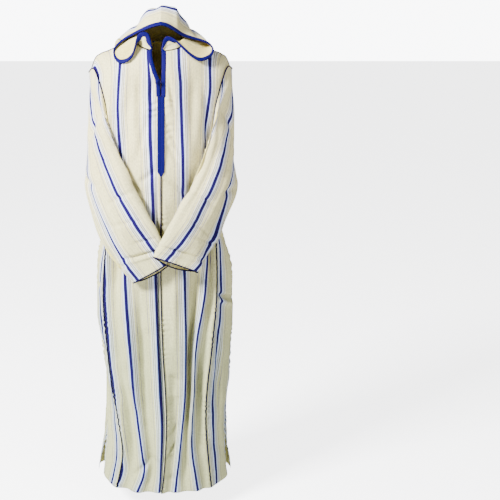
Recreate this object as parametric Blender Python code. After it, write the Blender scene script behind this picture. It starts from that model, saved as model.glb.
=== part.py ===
"""A hooded djellaba robe as it stands when worn, hollow and open at neck, cuffs and hem.

Metres, +Z up. The origin is the point between the shoulders where the wearer carries the robe.
The front faces -Y and the wearer's left is +X. A level is a distance down from the shoulder line.
"""

import math

import bmesh
import bpy
import numpy as np

# ---------------------------------------------------------------- driving sizes
HEM_LEVEL = 1.45          # shoulder line to hem
UNDERARM_LEVEL = 0.32     # shoulder tip to the bottom of the armhole
CLOTH = 0.0016            # thickness of the robe cloth
SEAM_GAP = 0.0003         # clearance between two sewn pieces
SHOULDER_ROUND = 0.12     # radius over which front and back roll into the shoulder seam
SQUARENESS = 2.3          # exponent of the body's section: 2 is an ellipse
ARMHOLE_SWEEP = math.radians(33)   # how far the armhole reaches to the front and the back
NECK_HALF = 0.078         # half the width of the neck opening
NECK_FRONT_DROP = 0.045   # the neckline's drop at the throat
NECK_BACK_DROP = 0.020    # the neckline's drop at the nape
SLIT_LEVEL = 0.175        # bottom of the open neck slit
BRAID_LEVEL = 0.160       # where the slit's two braids end and the closed placket starts
PLACKET_LEVEL = 0.355     # where the closed braid starts to narrow to its point
PLACKET_TIP = 0.370
BUTTON_LEVEL = 0.124      # the knot button on the slit's edge
BUTTON_RADIUS = 0.0042
SIDE_SLIT_LEVEL = 1.26    # top of the walking slit in each side seam
BRAID_WIDTH = 0.012
BRAID_THICK = 0.0015
BRAID_GAP = 0.0007        # between a folded braid and the edge it covers
BRAID_LIP = 0.0022        # the fold's further clearance off the edge
INNER_LIFT = 0.0014       # and stands this much further off there
INNER_SHORT = 0.15        # the folded braid is narrower by this share on the inside
PLACKET_HALF = 0.0115
PIPING_RADIUS = 0.0012
CORD_SIDES = 5            # flats round a cord
CORD_START = (0.31, 0.52, 0.79)      # a direction no cord runs along, from which its flats are set
SEAM_END = 0.02           # a piping stops this share of a mesh row short of the hem
SHOULDER_END = 0.006      # and this far outside the neck
UNDERARM_ROWS = 2.2       # rows of mesh below the armhole that the side-front pipings leave free
NECK_END = 0.15           # the slit's braids stop this share of a mesh row short of the neck seam
TIP_SHARE = 0.12          # width of the placket braid's point
LOOP_STRETCH = 1.35       # the button loop is longer than round by this factor
LOOP_SHIFT = 0.30         # and reaches this share of its radius to the wearer's left
LOOP_CLEAR = 0.0013       # between the button and its loop
BUTTON_PLACE = 0.25       # the button's place on the right edge, as a share of a mesh column
STEP = 0.004              # a short step on the form, for measuring which way it faces
CUFF_GAP = 0.0032         # between the cuff's edge and its piping, for the bends at the two folds
PIPING_CLEAR = 0.0004     # extra lift of a piping, for the bend of the cloth between rows
PLACKET_CLEAR = 0.0006    # extra lift of the placket braid
NECK_CLEAR = 0.0038       # the hood's seam above the neckline
LOOP_RADIUS = 0.0008      # the button loop's cord
CUFF_LIP = 0.011          # the cuff's back layer hangs this much lower than its front
RIGHT, LEFT = -1, 1

# Body sections. Columns: level, half width on the wearer's right and left, depth in front and behind.
BODY_SECTIONS = np.array([
    # level   right   left   front   back
    (0.00, 0.222, 0.219, 0.125, 0.112),
    (0.10, 0.212, 0.209, 0.128, 0.118),
    (0.20, 0.194, 0.193, 0.129, 0.120),
    (0.32, 0.178, 0.178, 0.125, 0.118),
    (0.42, 0.172, 0.174, 0.120, 0.116),
    (0.55, 0.190, 0.200, 0.118, 0.118),
    (0.67, 0.212, 0.232, 0.121, 0.123),
    (0.81, 0.215, 0.240, 0.126, 0.128),
    (0.95, 0.201, 0.240, 0.129, 0.130),
    (1.06, 0.189, 0.236, 0.131, 0.131),
    (1.17, 0.183, 0.229, 0.133, 0.132),
    (1.33, 0.194, 0.227, 0.141, 0.137),
    (1.45, 0.204, 0.232, 0.150, 0.145),
])

# Height of the shoulder seam above the origin, from the neck out to the shoulder tip.
SHOULDER_LINE = np.array([
    # out     height
    (0.000, 0.060),
    (0.078, 0.050),
    (0.110, 0.038),
    (0.167, 0.012),
    (0.190, 0.003),
    (0.208, -0.014),
    (0.216, -0.036),
    (0.222, -0.056),
])
SHOULDER_FADE = 0.42      # level at which the shoulder's slope has gone from the sections

# Lengthwise threads of each front panel: where they run across the body at each level. The first
# row of each table is the thread's place on the flat cloth, from the centre edge.
LEFT_THREADS = {
    "cloth": (0.000, 0.067, 0.167, 0.240),
    "rows": np.array([
        # level  centre  stripe  stripe  side seam
        (0.00, 0.0040, 0.053, 0.148, 0.200),
        (0.07, 0.0035, 0.055, 0.150, 0.190),
        (0.13, 0.0030, 0.058, 0.150, 0.178),
        (0.160, 0.0026, 0.059, 0.148, 0.174),
        (0.175, 0.0000, 0.060, 0.147, 0.172),
        (0.24, 0.0000, 0.063, 0.143, 0.167),
        (0.32, 0.0000, 0.067, 0.141, 0.164),
        (0.45, 0.0000, 0.071, 0.140, 0.160),
        (0.60, 0.0000, 0.074, 0.150, 0.178),
        (0.76, 0.0000, 0.080, 0.141, 0.182),
        (0.95, 0.0060, 0.084, 0.113, 0.168),
        (1.10, 0.0150, 0.082, 0.109, 0.153),
        (1.20, 0.0180, 0.075, 0.103, 0.151),
        (1.32, 0.0140, 0.063, 0.105, 0.160),
        (1.38, 0.0100, 0.056, 0.114, 0.166),
        (1.45, 0.0020, 0.048, 0.126, 0.174),
    ]),
}
RIGHT_THREADS = {
    "cloth": (0.000, 0.033, 0.133, 0.240),
    "rows": np.array([
        # level  centre  stripe  stripe  side seam
        (0.00, 0.0300, 0.040, 0.120, 0.200),
        (0.07, 0.0160, 0.036, 0.124, 0.190),
        (0.13, 0.0040, 0.034, 0.130, 0.178),
        (0.160, 0.0026, 0.034, 0.132, 0.174),
        (0.175, 0.0000, 0.033, 0.133, 0.172),
        (0.24, 0.0000, 0.033, 0.132, 0.167),
        (0.32, 0.0000, 0.029, 0.126, 0.164),
        (0.45, 0.0000, 0.024, 0.120, 0.160),
        (0.60, 0.0000, 0.019, 0.116, 0.178),
        (0.76, 0.0000, 0.013, 0.112, 0.190),
        (0.95, -0.0060, 0.006, 0.099, 0.180),
        (1.10, -0.0150, -0.001, 0.090, 0.164),
        (1.20, -0.0180, -0.006, 0.079, 0.145),
        (1.32, -0.0140, -0.003, 0.062, 0.130),
        (1.38, -0.0100, 0.000, 0.057, 0.138),
        (1.45, -0.0020, 0.004, 0.080, 0.153),
    ]),
}
FOLD_SHARE = 0.45         # depth of a fold as a share of the spare cloth's half length
FOLD_LIMIT = 0.036
FOLD_START, FOLD_FULL = 0.22, 0.62   # levels between which the folds open
STRIPE_SHARE = 0.80       # the outer stripe keeps within this share of the way to the armhole
LOWER_ROWS = 13           # rows of a panel's or gore's mesh from the hem to the armhole
CHEST_LEVELS = (0.225, 0.190, SLIT_LEVEL, BRAID_LEVEL, 0.138, SHOULDER_ROUND)
ROLL_ROWS = 5             # rows over the roll of the shoulder
NECK_COLUMNS = 5          # columns of the back across its neckline
COLUMN_STEP = 0.028       # cloth between two columns of a front panel

# Soft folds of the back, as a share of the back's width from the wearer's right to left.
BACK_FOLDS = np.array([
    # place  width  depth  start level
    (0.17, 0.11, 0.016, 0.55),
    (0.36, 0.09, 0.013, 0.30),
    (0.55, 0.12, 0.018, 0.45),
    (0.73, 0.08, 0.012, 0.70),
    (0.88, 0.09, 0.015, 0.50),
])
BACK_FOLD_OPENING = 0.5   # a back fold opens over this height
GORE_FLARE = np.array([
    # level  front gore  back gore, moved out at its middle
    (0.32, 0.000, 0.000),
    (0.90, 0.000, 0.002),
    (1.15, -0.004, 0.008),
    (1.30, -0.008, 0.016),
    (1.45, -0.006, 0.014),
])
BACK_SWING = (0.020, 0.0225)     # how far the back gore's free corner swings out and back at the hem
FRONT_SWING = (0.0005, -0.0045)  # and the front gore's

# Sleeve sections: the tube's two folded edges, and how far its outer face stands off the line between.
LEFT_SLEEVE = np.array([
    # inner edge x, y, z      outer edge x, y, z       bulge
    (0.128, -0.115, -0.315, 0.207, 0.072, -0.345, 0.062),
    (0.099, -0.132, -0.385, 0.236, 0.036, -0.420, 0.055),
    (0.055, -0.156, -0.457, 0.192, -0.068, -0.545, 0.041),
    (0.014, -0.172, -0.538, 0.150, -0.122, -0.612, 0.029),
    (-0.022, -0.180, -0.610, 0.113, -0.162, -0.662, 0.021),
])
RIGHT_SLEEVE = np.array([
    # inner edge x, y, z      outer edge x, y, z       bulge
    (-0.124, -0.115, -0.315, -0.212, 0.074, -0.345, 0.062),
    (-0.092, -0.130, -0.385, -0.240, 0.040, -0.420, 0.056),
    (-0.036, -0.144, -0.487, -0.198, -0.064, -0.570, 0.039),
    (0.002, -0.147, -0.560, -0.138, -0.110, -0.650, 0.026),
    (0.038, -0.146, -0.631, -0.089, -0.136, -0.706, 0.017),
])
SLEEVE_KNOTS = (0.0, 0.36, 0.50, 0.68, 0.84, 1.0)   # share of the way to the cuff: armhole, then rows
SLEEVE_ALONG, SLEEVE_AROUND = 12, 18                # rings of a sleeve's mesh, and points of each
SLEEVE_EASE = 0.10        # share of the sleeve over which it leaves the armhole edge
SLEEVE_SQUARENESS = 2.2
SLEEVE_CLEAR = 0.0125     # between the sleeve and the body under it
SLEEVE_BACK = 0.4         # how full the sleeve's back face is beside its outer face
SLEEVE_LAP = 0.004        # the sleeve's seam laps the armhole edge by this much
SLEEVE_LIFT = 0.003       # and stands this far off it
SLEEVE_TIP_LIFT = 0.002   # and this much further over the shoulder's bend

# The hood's front edge, from the throat round the drooping side to the brow, on each side.
HOOD_EDGE_LEFT = np.array([
    # x      y       z
    (0.004, -0.1010, 0.024),
    (0.008, -0.0980, 0.042),
    (0.017, -0.0930, 0.054),
    (0.033, -0.0920, 0.051),
    (0.047, -0.0950, 0.040),
    (0.069, -0.0990, 0.018),
    (0.094, -0.1010, -0.003),
    (0.118, -0.1000, -0.014),
    (0.141, -0.0900, -0.009),
    (0.157, -0.0740, 0.004),
    (0.161, -0.0640, 0.019),
    (0.150, -0.0610, 0.034),
    (0.130, -0.0620, 0.043),
    (0.101, -0.0690, 0.050),
    (0.069, -0.0800, 0.059),
    (0.036, -0.0950, 0.078),
    (0.014, -0.1020, 0.089),
    (0.000, -0.1040, 0.092),
])
HOOD_EDGE_RIGHT = np.array([
    (-0.029, -0.1000, 0.026),
    (-0.034, -0.0950, 0.046),
    (-0.040, -0.0900, 0.063),
    (-0.052, -0.0890, 0.068),
    (-0.066, -0.0900, 0.062),
    (-0.073, -0.0940, 0.048),
    (-0.079, -0.1000, 0.022),
    (-0.087, -0.1040, -0.002),
    (-0.104, -0.1030, -0.017),
    (-0.127, -0.0980, -0.020),
    (-0.144, -0.0830, 0.000),
    (-0.142, -0.0690, 0.022),
    (-0.128, -0.0660, 0.037),
    (-0.108, -0.0690, 0.051),
    (-0.082, -0.0780, 0.064),
    (-0.057, -0.0880, 0.075),
    (-0.020, -0.1010, 0.088),
    (0.000, -0.1040, 0.092),
])

# What follows the edge round the hood, by share of the way from throat to brow: three places on
# the way back (over the ridge, down the back, at the lowest fold) and the neck seam's angle.
HOOD_INNER_LEFT = np.array([
    # share  ridge x, y, z          back x, y, z            lowest x, y, z         seam angle from nape
    (0.000, 0.0042, -0.1005, 0.0215, 0.0044, -0.0998, 0.0195, 0.0046, -0.0990, 0.0178, 177),
    (0.083, 0.0215, -0.0935, 0.042, 0.0220, -0.0930, 0.034, 0.0225, -0.0925, 0.027, 163),
    (0.122, 0.0320, -0.0910, 0.043, 0.0340, -0.0900, 0.037, 0.0350, -0.0895, 0.031, 153),
    (0.240, 0.0620, -0.0860, 0.042, 0.0600, -0.0800, 0.044, 0.0585, -0.0770, 0.041, 132),
    (0.319, 0.0840, -0.0740, 0.040, 0.0740, -0.0600, 0.052, 0.0710, -0.0540, 0.052, 116),
    (0.400, 0.1100, -0.0520, 0.040, 0.0920, -0.0220, 0.054, 0.0820, -0.0140, 0.055, 98),
    (0.506, 0.1320, -0.0140, 0.046, 0.1040, 0.0140, 0.052, 0.0870, 0.0260, 0.051, 78),
    (0.595, 0.1320, 0.0080, 0.056, 0.1000, 0.0400, 0.051, 0.0820, 0.0560, 0.042, 62),
    (0.670, 0.1120, 0.0140, 0.070, 0.0880, 0.0560, 0.052, 0.0700, 0.0840, 0.028, 50),
    (0.800, 0.0700, -0.0020, 0.108, 0.0660, 0.0620, 0.070, 0.0480, 0.1160, -0.012, 34),
    (0.900, 0.0400, -0.0220, 0.140, 0.0380, 0.0640, 0.092, 0.0260, 0.1340, -0.056, 17),
    (1.000, 0.0000, -0.0300, 0.152, 0.0000, 0.0660, 0.102, 0.0000, 0.1440, -0.085, 0),
])
HOOD_INNER_RIGHT = np.array([
    # share  ridge x, y, z           back x, y, z             lowest x, y, z          seam angle from nape
    (0.000, -0.0287, -0.0995, 0.0235, -0.0285, -0.0990, 0.0215, -0.0283, -0.0988, 0.0195, 159),
    (0.060, -0.0460, -0.0930, 0.043, -0.0430, -0.0930, 0.033, -0.0410, -0.0920, 0.027, 151),
    (0.134, -0.0525, -0.0910, 0.052, -0.0515, -0.0900, 0.042, -0.0500, -0.0890, 0.034, 141),
    (0.176, -0.0575, -0.0900, 0.049, -0.0560, -0.0870, 0.042, -0.0555, -0.0850, 0.037, 135),
    (0.215, -0.0640, -0.0890, 0.045, -0.0610, -0.0840, 0.043, -0.0600, -0.0800, 0.040, 130),
    (0.283, -0.0720, -0.0820, 0.048, -0.0680, -0.0720, 0.052, -0.0680, -0.0660, 0.049, 120),
    (0.345, -0.0880, -0.0800, 0.036, -0.0820, -0.0560, 0.054, -0.0770, -0.0460, 0.054, 110),
    (0.460, -0.1160, -0.0620, 0.030, -0.1000, -0.0140, 0.054, -0.0870, -0.0040, 0.055, 90),
    (0.530, -0.1340, -0.0300, 0.040, -0.1040, 0.0100, 0.054, -0.0880, 0.0200, 0.053, 78),
    (0.590, -0.1340, 0.0060, 0.050, -0.1020, 0.0380, 0.052, -0.0840, 0.0500, 0.045, 66),
    (0.670, -0.1120, 0.0140, 0.070, -0.0880, 0.0560, 0.052, -0.0700, 0.0840, 0.028, 50),
    (0.800, -0.0700, -0.0020, 0.108, -0.0660, 0.0620, 0.070, -0.0480, 0.1160, -0.012, 34),
    (0.900, -0.0400, -0.0220, 0.140, -0.0380, 0.0640, 0.092, -0.0260, 0.1340, -0.056, 17),
    (1.000, 0.0000, -0.0300, 0.152, 0.0000, 0.0660, 0.102, 0.0000, 0.1440, -0.085, 0),
])
HOOD_KNOTS = (0.0, 0.28, 0.55, 0.80, 1.0)
HOOD_PLACES = np.array((0.0, 0.16, 0.32, 0.48, 0.64, 0.76, 0.84, 0.90, 0.95, 1.0))
HOOD_SHARES = np.concatenate([np.linspace(0, 0.17, 6), np.linspace(0.17, 0.65, 9)[1:],
                              np.linspace(0.65, 1, 7)[1:]])
HOOD_STEPS = 80           # places at which a hood section is measured
HOOD_CLEAR = 0.0060       # between the hood and the shoulders it hangs over


# ---------------------------------------------------------------- small maths
def smooth(knots, values, at):
    """Values at each place in `at`, on a smooth curve through the knots, with no overshoot at the ends."""
    knots = np.asarray(knots, float)
    values = np.asarray(values, float)
    at = np.clip(np.asarray(at, float), knots[0], knots[-1])
    slopes = np.gradient(values, knots, axis=0)
    i = np.clip(np.searchsorted(knots, at, side="right") - 1, 0, len(knots) - 2)
    span = knots[i + 1] - knots[i]
    t = (at - knots[i]) / span
    shape = t.shape + (1,) * (values.ndim - 1)
    t, span = t.reshape(shape), span.reshape(shape)
    return (
        (2 * t**3 - 3 * t**2 + 1) * values[i]
        + (t**3 - 2 * t**2 + t) * span * slopes[i]
        + (3 * t**2 - 2 * t**3) * values[i + 1]
        + (t**3 - t**2) * span * slopes[i + 1]
    )


def ease(x, low, high):
    """0 below low, 1 above high, and a smooth step between."""
    t = np.clip((x - low) / (high - low), 0, 1)
    return t * t * (3 - 2 * t)


def unit(vectors):
    """The vectors at length one."""
    return vectors / np.maximum(np.linalg.norm(vectors, axis=-1, keepdims=True), 1e-12)


# ---------------------------------------------------------------- the body's form
def shoulder_height(x):
    """Height of the shoulder line at a place across the body."""
    return smooth(SHOULDER_LINE[:, 0], SHOULDER_LINE[:, 1], np.abs(x))


def half_width(level, side):
    """Half width of the body's section at a level, on one side."""
    column = 1 if side == RIGHT else 2
    return smooth(BODY_SECTIONS[:, 0], BODY_SECTIONS[:, column], level)


def angle_of(out, level, side):
    """The angle round the section, from its middle, of a place that far out towards one side."""
    share = np.clip(np.abs(out) / half_width(level, side), 0, 1)
    return np.sign(out) * np.arcsin(share ** (SQUARENESS / 2))


def body_point(angle, level, side, back=False):
    """A point on the body's form. The angle runs from 0 in the middle to a quarter turn at the side."""
    level = np.asarray(level, float)
    width = half_width(level, side)
    depth = smooth(BODY_SECTIONS[:, 0], BODY_SECTIONS[:, 4 if back else 3], level)
    power = 2 / SQUARENESS
    x = side * width * np.sign(angle) * np.abs(np.sin(angle)) ** power
    rolled = np.clip(level / SHOULDER_ROUND, 0, 1)
    roll = np.sqrt(np.clip(1 - (1 - rolled) ** 2, 0, 1))
    y = depth * roll * np.sign(np.cos(angle)) * np.abs(np.cos(angle)) ** power * (1 if back else -1)
    z = shoulder_height(x) * (1 - ease(level, 0.0, SHOULDER_FADE)) - level
    return np.stack(np.broadcast_arrays(x, y, z), axis=-1)


def body_normal(angle, level, side, back=False):
    """The outward direction of the body's form, from two short steps on it."""
    level = np.maximum(np.asarray(level, float), STEP)
    angle = np.asarray(angle, float)
    down = body_point(angle, level + STEP, side, back) - body_point(angle, level - STEP, side, back)
    across = body_point(angle + STEP, level, side, back) - body_point(angle - STEP, level, side, back)
    return unit(np.cross(across, down) * side * (1 if back else -1))


def armhole_angle(level):
    """The armhole edge's distance round from the side seam, as an angle, at a level."""
    half = UNDERARM_LEVEL / 2
    height = np.clip((half - level) / half, -1, 1)
    return ARMHOLE_SWEEP * np.sqrt(1 - height**2)


def armhole_level(angle_from_side):
    """The lower level at which the armhole edge is that far round from the side seam."""
    half = UNDERARM_LEVEL / 2
    share = np.clip(angle_from_side / ARMHOLE_SWEEP, 0, 1)
    return half + half * np.sqrt(1 - share**2)


def seam_angle(threads, side, level):
    """The side seam's angle at a level. The back panel's seam mirrors the front's."""
    rows = threads["rows"]
    return angle_of(smooth(rows[:, 0], rows[:, -1], level), level, side)


def gore_corner():
    """The level at which the four gore seams run into the armholes."""
    levels = np.linspace(UNDERARM_LEVEL / 2, UNDERARM_LEVEL, 400)
    apart = math.pi / 2 - armhole_angle(levels) - seam_angle(LEFT_THREADS, LEFT, levels)
    return float(levels[np.argmin(np.abs(apart))])


def panel_edge(threads, side, level):
    """The angle of a panel's outer edge: the armhole down to the corner, and below it the side seam."""
    corner = gore_corner()
    armhole = math.pi / 2 - armhole_angle(np.minimum(level, corner))
    return np.where(level < corner, armhole, seam_angle(threads, side, level))


def panel_levels(top):
    """Rows of levels from the hem up to each column's top, spaced evenly over the shoulder's roll."""
    low = np.concatenate([np.linspace(HEM_LEVEL, gore_corner(), LOWER_ROWS), CHEST_LEVELS])
    quarter = math.pi / 2
    end = np.arccos(1 - top / SHOULDER_ROUND)[None]
    q = quarter + (end - quarter) * np.linspace(0, 1, ROLL_ROWS + 1)[1:, None]
    return np.concatenate([low[:, None] * np.ones(len(top)), SHOULDER_ROUND * (1 - np.cos(q))])


def neck_level(x, drop):
    """The neckline's level at a place across the body."""
    return drop * np.sqrt(np.clip(1 - (x / NECK_HALF) ** 2, 0, 1))


# ---------------------------------------------------------------- meshes
def add_object(name, vertices, faces, material):
    """A named object of these faces, all turned outwards and shaded smooth except at sharp edges."""
    mesh = bpy.data.meshes.new(name)
    mesh.from_pydata([tuple(map(float, v)) for v in vertices], [], faces)
    edit = bmesh.new()
    edit.from_mesh(mesh)
    bmesh.ops.recalc_face_normals(edit, faces=edit.faces)
    edit.to_mesh(mesh)
    edit.free()
    mesh.shade_smooth()
    mesh.set_sharp_from_angle(angle=math.radians(50))
    mesh.materials.append(material)
    made = bpy.data.objects.new(name, mesh)
    bpy.context.scene.collection.objects.link(made)
    return made


def grid_normals(points, wraps=False):
    """The normal at each point of a grid, from its neighbours along and across."""
    along = np.gradient(points, axis=0)
    across = np.gradient(points, axis=1)
    if wraps:
        across = (np.roll(points, -1, axis=1) - np.roll(points, 1, axis=1)) / 2
    return unit(np.cross(across, along))


def wall_faces(rows, columns, wraps=False, turned=0):
    """The triangles of a closed wall: outer grid, inner grid and the strips that join their edges.
    The first `turned` columns are split along the other diagonal."""
    size = rows * columns
    faces = []
    for r in range(rows - 1):
        for c in range(columns if wraps else columns - 1):
            a, b = r * columns + c, r * columns + (c + 1) % columns
            e, f = a + columns, b + columns
            halves = [(a, b, e), (b, f, e)] if c < turned else [(a, b, f), (a, f, e)]
            faces += halves + [tuple(v + size for v in reversed(half)) for half in halves]
    top = (rows - 1) * columns
    for c in range(columns if wraps else columns - 1):
        d = (c + 1) % columns
        faces += [(c, c + size, d + size, d), (top + c, top + d, top + d + size, top + c + size)]
    for c in () if wraps else (0, columns - 1):
        for r in range(rows - 1):
            a, e = r * columns + c, (r + 1) * columns + c
            faces += [(a, e, e + size), (a, e + size, a + size)]
    return faces


def wall(name, points, normals, material, thick=CLOTH, lift=0.0, wraps=False):
    """A closed wall of cloth: the grid is its outer face, and its inner face lies a thickness inside."""
    outer = points + normals * lift
    inner = points + normals * (lift - thick)
    vertices = np.concatenate([outer.reshape(-1, 3), inner.reshape(-1, 3)])
    return add_object(name, vertices, wall_faces(*points.shape[:2], wraps), material)


def nearest_turn(ring, first):
    """How many points the first ring is turned by, to meet this one with no twist."""
    sides = len(ring)
    gaps = [np.linalg.norm(np.roll(first, -turn, axis=0) - ring, axis=1).sum() for turn in range(sides)]
    return int(np.argmin(gaps))


def tube(name, path, radius, material, closed=False):
    """A round cord along a path, with flat ends or joined end to end."""
    sides = CORD_SIDES
    path = np.asarray(path, float)
    if closed:
        forward = unit(np.roll(path, -1, axis=0) - np.roll(path, 1, axis=0))
    else:
        forward = unit(np.gradient(path, axis=0))
    across = np.zeros_like(path)
    guess = np.array(CORD_START)
    for i, ahead in enumerate(forward):
        guess = guess - ahead * guess.dot(ahead)
        guess = guess / np.linalg.norm(guess)
        across[i] = guess
    upward = np.cross(forward, across)
    turn = np.arange(sides) * 2 * math.pi / sides
    rings = path[:, None] + radius * (
        np.cos(turn)[None, :, None] * across[:, None] + np.sin(turn)[None, :, None] * upward[:, None]
    )
    count = len(path)
    faces = []
    for i in range(count if closed else count - 1):
        j = (i + 1) % count
        shift = nearest_turn(rings[i], rings[0]) if j == 0 else 0
        for k in range(sides):
            m = (k + 1) % sides
            far, near = (k + shift) % sides, (m + shift) % sides
            faces.append((i * sides + k, i * sides + m, j * sides + near, j * sides + far))
    if not closed:
        faces += [tuple(range(sides)), tuple(range((count - 1) * sides, count * sides))]
    return add_object(name, rings.reshape(-1, 3), faces, material)


def inset(points, left=SEAM_GAP / 2, right=SEAM_GAP / 2, top=SEAM_GAP / 2):
    """The grid with its side columns and last row drawn in, so that the next piece doesn't touch it."""
    drawn = points.copy()
    drawn[:, 0] += unit(points[:, 1] - points[:, 0]) * left
    drawn[:, -1] += unit(points[:, -2] - points[:, -1]) * right
    drawn[-1] += unit(drawn[-2] - drawn[-1]) * top
    return drawn


# ---------------------------------------------------------------- front panels
def folded_panel(threads, side, levels, columns):
    """A front panel's grid. Each row runs along the body's form through the threads of the table,
    and between two threads the spare cloth sinks in one soft fold."""
    rows, cloth = threads["rows"], np.asarray(threads["cloth"])
    interval = np.clip(np.searchsorted(cloth, columns, side="right") - 1, 0, len(cloth) - 2)
    t = (columns - cloth[interval]) / (cloth[interval + 1] - cloth[interval])
    grid = np.zeros(levels.shape + (3,))
    outward = np.zeros(levels.shape + (3,))
    for r, row_levels in enumerate(levels):
        outs = smooth(rows[:, 0], rows[:, 1:], row_levels[-1])
        if row_levels[-1] < PLACKET_TIP:
            outs[0] = max(outs[0], 0)
        knots = angle_of(outs, row_levels[-1], side)
        knots[-1] = panel_edge(threads, side, row_levels[-1])
        knots[-2] = min(knots[-2], knots[-3] + STRIPE_SHARE * (knots[-1] - knots[-3]))
        places = body_point(knots, np.full(len(knots), row_levels[-1]), side)
        chords = np.linalg.norm(np.diff(places[:, :2], axis=0), axis=1)
        spare = np.sqrt(np.clip(np.diff(cloth) ** 2 - chords**2, 0, None)) * FOLD_SHARE
        sink = np.minimum(spare, FOLD_LIMIT)[interval] * ease(row_levels, FOLD_START, FOLD_FULL)
        angle = knots[interval] + (knots[interval + 1] - knots[interval]) * t
        outward[r] = body_normal(angle, row_levels, side)
        grid[r] = body_point(angle, row_levels, side) - outward[r] * (sink * np.sin(math.pi * t) ** 2)[:, None]
    return grid, outward


def edge_normals(grid, outward):
    """The grid's own normals inside it, and the form's along its seams, so that neighbours agree."""
    own = grid_normals(grid)
    own *= np.sign((own * outward).sum(-1, keepdims=True))
    own[:, 0], own[:, -1], own[-1] = outward[:, 0], outward[:, -1], outward[-1]
    own[-1, np.abs(grid[-1, :, 1]) < 1e-6, 1] = 0
    return unit(own)


def front_columns(threads, side):
    """Cloth places of the columns: each thread of the table, a few between, and one at the neck's end."""
    cloth = threads["cloth"]
    places = []
    for start, end in zip(cloth[:-1], cloth[1:]):
        steps = max(2, round((end - start) / COLUMN_STEP))
        places += list(np.linspace(start, end, steps, endpoint=False))
    places = np.array(places + [cloth[-1]])
    angles = angle_of(threads["rows"][0, 1:], 0.0, side)
    angles[-1] = math.pi / 2
    neck = np.interp(float(angle_of(NECK_HALF, 0.0, side)), angles, cloth)
    places[np.argmin(np.abs(places - neck))] = neck
    return places, np.interp(places, cloth, angles)


def front_grid(threads, side):
    """A front panel's grid with its outward directions and levels."""
    columns, top_angles = front_columns(threads, side)
    top_x = half_width(0.0, side) * np.abs(np.sin(top_angles)) ** (2 / SQUARENESS)
    levels = panel_levels(neck_level(top_x, NECK_FRONT_DROP))
    grid, outward = folded_panel(threads, side, levels, columns)
    return grid, edge_normals(grid, outward), levels


# ---------------------------------------------------------------- gores and back
def gore_grid(threads, side, back, columns=4):
    """A gore's grid with its outward directions, from its seam with the front or back panel to the
    side seam. Below the side slit its free edge swings out."""
    share = np.linspace(0, 1, columns)
    top = np.full(columns, gore_corner())
    for _ in range(12):
        seam = seam_angle(threads, side, top)
        angle = seam + (math.pi / 2 - seam) * share
        top = np.where(share > 0, armhole_level(math.pi / 2 - angle), top)
    levels = HEM_LEVEL + (top[None] - HEM_LEVEL) * np.linspace(0, 1, LOWER_ROWS)[:, None]
    seam = seam_angle(threads, side, levels)
    angle = seam + (math.pi / 2 - seam) * share[None]
    grid = body_point(angle, levels, side, back)
    outward = body_normal(angle, levels, side, back)
    flare = smooth(GORE_FLARE[:, 0], GORE_FLARE[:, 2 if back else 1], levels)
    grid = grid + outward * (flare * np.sin(math.pi * share) ** 2)[..., None]
    hinge = share[None] ** 2 * ease(levels[:, -1:], SIDE_SLIT_LEVEL, HEM_LEVEL)
    swing = BACK_SWING if back else FRONT_SWING
    grid = grid + hinge[..., None] * np.array((side * swing[0], swing[1], 0))
    return grid, edge_normals(grid, outward)


def back_grid():
    """The back panel's grid, from the wearer's right to left, with its soft folds. Its columns meet
    the front panels' at the shoulders."""
    outer = {}
    for side, threads in ((RIGHT, RIGHT_THREADS), (LEFT, LEFT_THREADS)):
        angles = front_columns(threads, side)[1]
        neck = float(angle_of(NECK_HALF, 0.0, side))
        outer[side] = angles[angles > neck - 1e-6] / (math.pi / 2)
    middle = np.linspace(-outer[RIGHT][0], outer[LEFT][0], NECK_COLUMNS)[1:-1]
    place = np.concatenate([-outer[RIGHT][::-1], middle, outer[LEFT]])
    width = np.where(place < 0, half_width(0.0, RIGHT), half_width(0.0, LEFT))
    top_x = width * np.sin(np.abs(place) * math.pi / 2) ** (2 / SQUARENESS)
    top = np.where(top_x < NECK_HALF - 1e-6, neck_level(top_x, NECK_BACK_DROP), 0.0)
    levels = panel_levels(top)
    grid = np.zeros(levels.shape + (3,))
    outward = np.zeros(levels.shape + (3,))
    for side, threads in ((RIGHT, RIGHT_THREADS), (LEFT, LEFT_THREADS)):
        mine = place < 0 if side == RIGHT else place >= 0
        edge_level = levels[:, 0 if side == RIGHT else -1]
        angle = panel_edge(threads, side, edge_level)[:, None] * np.abs(place[mine])[None]
        grid[:, mine] = body_point(angle, levels[:, mine], side, back=True)
        outward[:, mine] = body_normal(angle, levels[:, mine], side, back=True)
    share = (place + 1) / 2
    sink = np.zeros(levels.shape)
    for middle, width, depth, start_level in BACK_FOLDS:
        shape = np.exp(-(((share - middle) / (width / 2)) ** 2)) * np.sin(math.pi * share) ** 0.5
        sink += depth * shape[None] * ease(levels, start_level, start_level + BACK_FOLD_OPENING)
    grid = grid - outward * sink[..., None]
    return grid, edge_normals(grid, outward)


# ---------------------------------------------------------------- sleeves
def armhole_ring(side, turn):
    """The armhole's points. The turn runs from the front over the shoulder tip to the back and under."""
    half = UNDERARM_LEVEL / 2
    level = half - half * np.sin(turn)
    angle = math.pi / 2 - ARMHOLE_SWEEP * np.abs(np.cos(turn))
    front = body_point(angle, level, side)
    rear = body_point(angle, level, side, back=True)
    ring = np.where((np.cos(turn) >= 0)[:, None], front, rear)
    out = np.where((np.cos(turn) >= 0)[:, None], body_normal(angle, level, side),
                   body_normal(angle, level, side, back=True))
    return ring, out


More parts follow.
